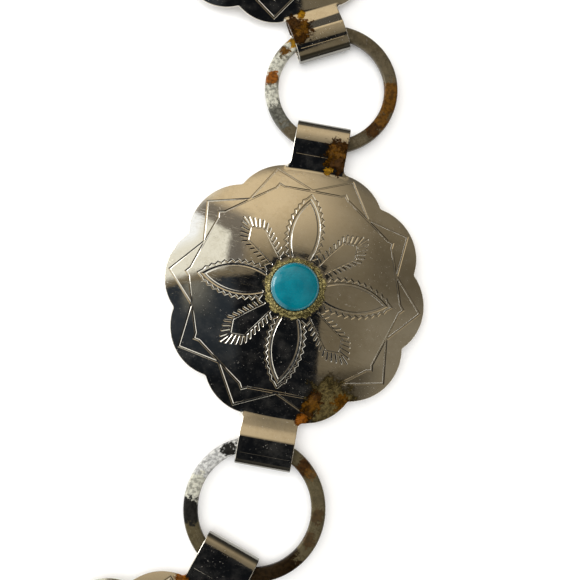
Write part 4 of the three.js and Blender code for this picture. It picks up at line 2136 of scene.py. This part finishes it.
@dataclass(frozen=True)
class Weathering:
    """How the belt's metal has stained: the pictured concho and rings, and kindred finishes for the rest.

    Places are millimetres on each piece's own map. A concho's map has its heading along it, a ring's the
    belt's long way.
    """

    concho: tuple[Stain, ...] = (
        Stain(19.1, 10.0, 4.3, StainTone.OLIVE, 0.55, 0.3),
        Stain(18.7, 7.0, 1.5, StainTone.BROWN, 0.85, 0.75),
        Stain(20.2, 6.5, 1.5, StainTone.AMBER, 0.9, 0.7),
        Stain(18.4, 11.6, 1.3, StainTone.AMBER, 0.6, 1.0),
        Stain(21.6, 6.1, 1.0, StainTone.BROWN, 0.7, 0.9),
        Stain(22.8, 5.3, 1.15, StainTone.ORANGE, 1.0, 0.35),
        Stain(-26.9, 3.6, 2.3, StainTone.BROWN, 0.9, 0.6),
        Stain(-26.0, 3.0, 1.7, StainTone.AMBER, 0.6, 0.8),
        Stain(-24.6, 4.0, 1.5, StainTone.BROWN, 0.9, 0.7),
        Stain(-23.3, 2.1, 0.85, StainTone.YELLOW, 0.9, 0.5),
    )
    ring_before: tuple[Stain, ...] = (
        Stain(-10.1, -5.3, 2.9, StainTone.WORN, 1.0, 0.45),
        Stain(-11.3, 1.3, 2.9, StainTone.WORN, 0.85, 0.6),
        Stain(-9.6, 5.6, 2.2, StainTone.WORN, 0.6, 0.7),
        Stain(-11.4, -1.3, 1.25, StainTone.ORANGE, 0.95, 0.6),
        Stain(-10.6, 4.4, 0.8, StainTone.AMBER, 0.9, 0.7),
        Stain(-9.2, 6.7, 1.3, StainTone.YELLOW, 0.6, 0.8),
        Stain(-7.9, -8.2, 2.2, StainTone.DULL, 0.9, 0.8),
        Stain(11.1, 2.6, 2.0, StainTone.AMBER, 0.85, 0.4),
        Stain(11.3, -0.2, 1.6, StainTone.AMBER, 0.6, 0.5),
        Stain(10.9, -3.3, 1.5, StainTone.AMBER, 0.5, 0.5),
        Stain(9.8, -5.6, 1.4, StainTone.BROWN, 0.5, 0.6),
    )
    ring_after: tuple[Stain, ...] = (
        Stain(-7.3, 8.6, 3.6, StainTone.SILVER, 0.75, 0.9),
        Stain(-10.4, 4.4, 3.2, StainTone.SILVER, 0.95, 0.6),
        Stain(-11.4, 0.2, 2.6, StainTone.WORN, 0.95, 0.5),
        Stain(-7.4, 8.4, 1.2, StainTone.SOOT, 0.85, 1.2),
        Stain(-10.8, -3.6, 2.2, StainTone.SOOT, 0.8, 0.7),
        Stain(4.2, -10.6, 3.8, StainTone.UMBER, 0.95, 0.3),
        Stain(8.3, -8.0, 2.8, StainTone.UMBER, 0.4, 0.6),
        Stain(6.2, 9.6, 1.2, StainTone.BROWN, 0.4, 0.7),
        Stain(7.7, 8.7, 1.0, StainTone.AMBER, 0.3, 0.8),
        Stain(10.9, 2.0, 1.1, StainTone.BROWN, 0.25, 0.9),
        Stain(10.7, -2.3, 1.1, StainTone.BROWN, 0.25, 0.9),
    )
    khaki: Colour = rgb(0.108, 0.086, 0.050)
    olive: Colour = rgb(0.098, 0.079, 0.041)
    crust_radius: float = 5.35
    # where the painted shade on the tabs' folds begins
    fold_shade_from: float = 31.2

    def concho_metals(self) -> list[bpy.types.Material]:
        """Return the conchos' finishes, the pictured one first.

        Returns:
            The finishes.
        """
        sets = [
            self.concho,
            turned_stains(self.concho, 180.0, 0.7),
            turned_stains(self.concho[:5], 96.0, 0.6),
            turned_stains(self.concho[5:], 180.0, 0.9),
        ]
        look = {"residue_radius": self.crust_radius, "fold_shade_from": self.fold_shade_from}
        return [
            NickelSilver(f"concho_metal_{number:02d}", stains=stains, **look).build()
            for number, stains in enumerate(sets, 1)
        ]

    def ring_metals(self) -> list[bpy.types.Material]:
        """Return the rings' finishes, the two pictured ones first.

        Returns:
            The finishes.
        """
        sets = [
            (self.khaki, self.ring_before),
            (self.olive, self.ring_after),
            (self.olive, turned_stains(self.ring_before, 150.0, 0.7)),
            (self.khaki, turned_stains(self.ring_after, 205.0, 0.8)),
            (self.khaki, turned_stains(self.ring_before[3:], 265.0, 0.8)),
        ]
        look = {"roughness": 0.15, "mottling": 0.5, "patina": 0.87}
        return [
            NickelSilver(f"ring_metal_{number:02d}", patina_tone=tone, stains=stains, **look).build()
            for number, (tone, stains) in enumerate(sets, 1)
        ]

    def hook_metal(self) -> bpy.types.Material:
        """Return the hook's finish."""
        look = {"roughness": 0.14, "mottling": 0.5, "patina": 0.45}
        return NickelSilver("hook_metal_01", patina_tone=self.khaki, **look).build()


@dataclass
class ConchoBelt:
    """The whole belt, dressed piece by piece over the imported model."""

    form: ConchoForm = field(default_factory=ConchoForm)
    pattern: StampPattern = field(default_factory=StampPattern)
    bezel: Bezel = field(default_factory=Bezel)
    stone: Cabochon = field(default_factory=Cabochon)
    ring: FlatRing = field(default_factory=FlatRing)
    hook: BeltHook = field(default_factory=BeltHook)
    weathering: Weathering = field(default_factory=Weathering)
    concho_finishes: tuple[int, ...] = (2, 1, 0, 3, 2, 1, 3, 0, 1, 2, 3, 1)
    ring_finishes: tuple[int, ...] = (4, 2, 0, 1, 3, 2, 4, 0, 3, 1, 2, 4, 3)
    joints: tuple[float, ...] = (205, 188, 199, 267, 17, 203, 164, 31, 195, 182, 340, 200, 186)
    pictured: int = 3

    def middle_of(self, node: str) -> tuple[float, float]:
        """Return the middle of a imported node, in millimetres.

        Args:
            node: The node's name.

        Returns:
            Its middle, across and along the row frame.
        """
        low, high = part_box(node)
        centre = (low + high) / 2.0 / MM
        return centre.x, centre.y

    def concho_place(self, number: int) -> Placement:
        """Return where a concho lies: over its stone, and heading away from the hook.

        The halves of the loop mirror each other, so a ring that lies deep in a fold does so on the side
        that faces away from the hook, where the tab climbs steeply and leaves it room.

        Args:
            number: The concho's number.

        Returns:
            The concho's placement.
        """
        centre = np.array(self.middle_of(f"turquoise_{number:02d}"))
        ring_number = number + 1 if number <= len(self.concho_finishes) // 2 else number
        ring_ahead = np.array(self.middle_of(f"ring_{ring_number:02d}"))
        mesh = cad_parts[f"concho_{number:02d}"].data
        points = np.array([tuple(v.co) for v in mesh.vertices])[:, :2] / MM - centre
        towards = (ring_ahead - centre) / np.linalg.norm(ring_ahead - centre)
        far = points[np.linalg.norm(points, axis=1) > self.form.bend_at]
        ahead = far[far @ towards > 0.0].mean(axis=0)
        behind = far[far @ towards < 0.0].mean(axis=0)
        line = ahead - behind
        return Placement((float(centre[0]), float(centre[1])), math.atan2(line[1], line[0]))

    def build(self) -> None:
        """Dress every piece."""
        sheet = SheetMesher(self.form, self.pattern.lines()).build()
        metals = self.weathering.concho_metals()
        concho = sheet.joined(self.bezel.build(metals[0]))
        turquoise = Turquoise().build()
        cabochon = self.stone.build()
        for number, finish in enumerate(self.concho_finishes, 1):
            place = self.concho_place(number)
            self._dress(f"concho_{number:02d}", concho, place, metals[finish], Slot.CONCHO)
            self._dress(f"turquoise_{number:02d}", cabochon, place, turquoise, Slot.STONE)
        metals = self.weathering.ring_metals()
        for number, finish in enumerate(self.ring_finishes, 1):
            ring = self.ring.build(metals[finish], self.joints[number - 1], number)
            place = Placement(self.middle_of(f"ring_{number:02d}"))
            self._dress(f"ring_{number:02d}", ring, place, metals[finish], Slot.RING)
        place = Placement(self.middle_of("hook"))
        self._dress("hook", self.hook.build(), place, self.weathering.hook_metal(), Slot.HOOK)

    def _dress(
        self, node: str, parts: MeshParts, place: Placement, material: bpy.types.Material, slot: Slot
    ) -> None:
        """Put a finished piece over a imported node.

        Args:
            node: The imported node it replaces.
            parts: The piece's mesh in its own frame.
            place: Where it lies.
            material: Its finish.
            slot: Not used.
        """
        piece = dressed_object(f"fine_{node}", parts, place, material)
        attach(piece, "root")
        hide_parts(node)
        LOG.info("%s: %d faces", node, len(parts.faces))


def main() -> None:
    """Build the belt and the studio round it."""
    logging.basicConfig(level=logging.INFO, format="%(message)s", stream=sys.stdout)
    belt = ConchoBelt()
    belt.build()
    Studio().build(belt.concho_place(belt.pictured))


if __name__ == "__main__":
    main()
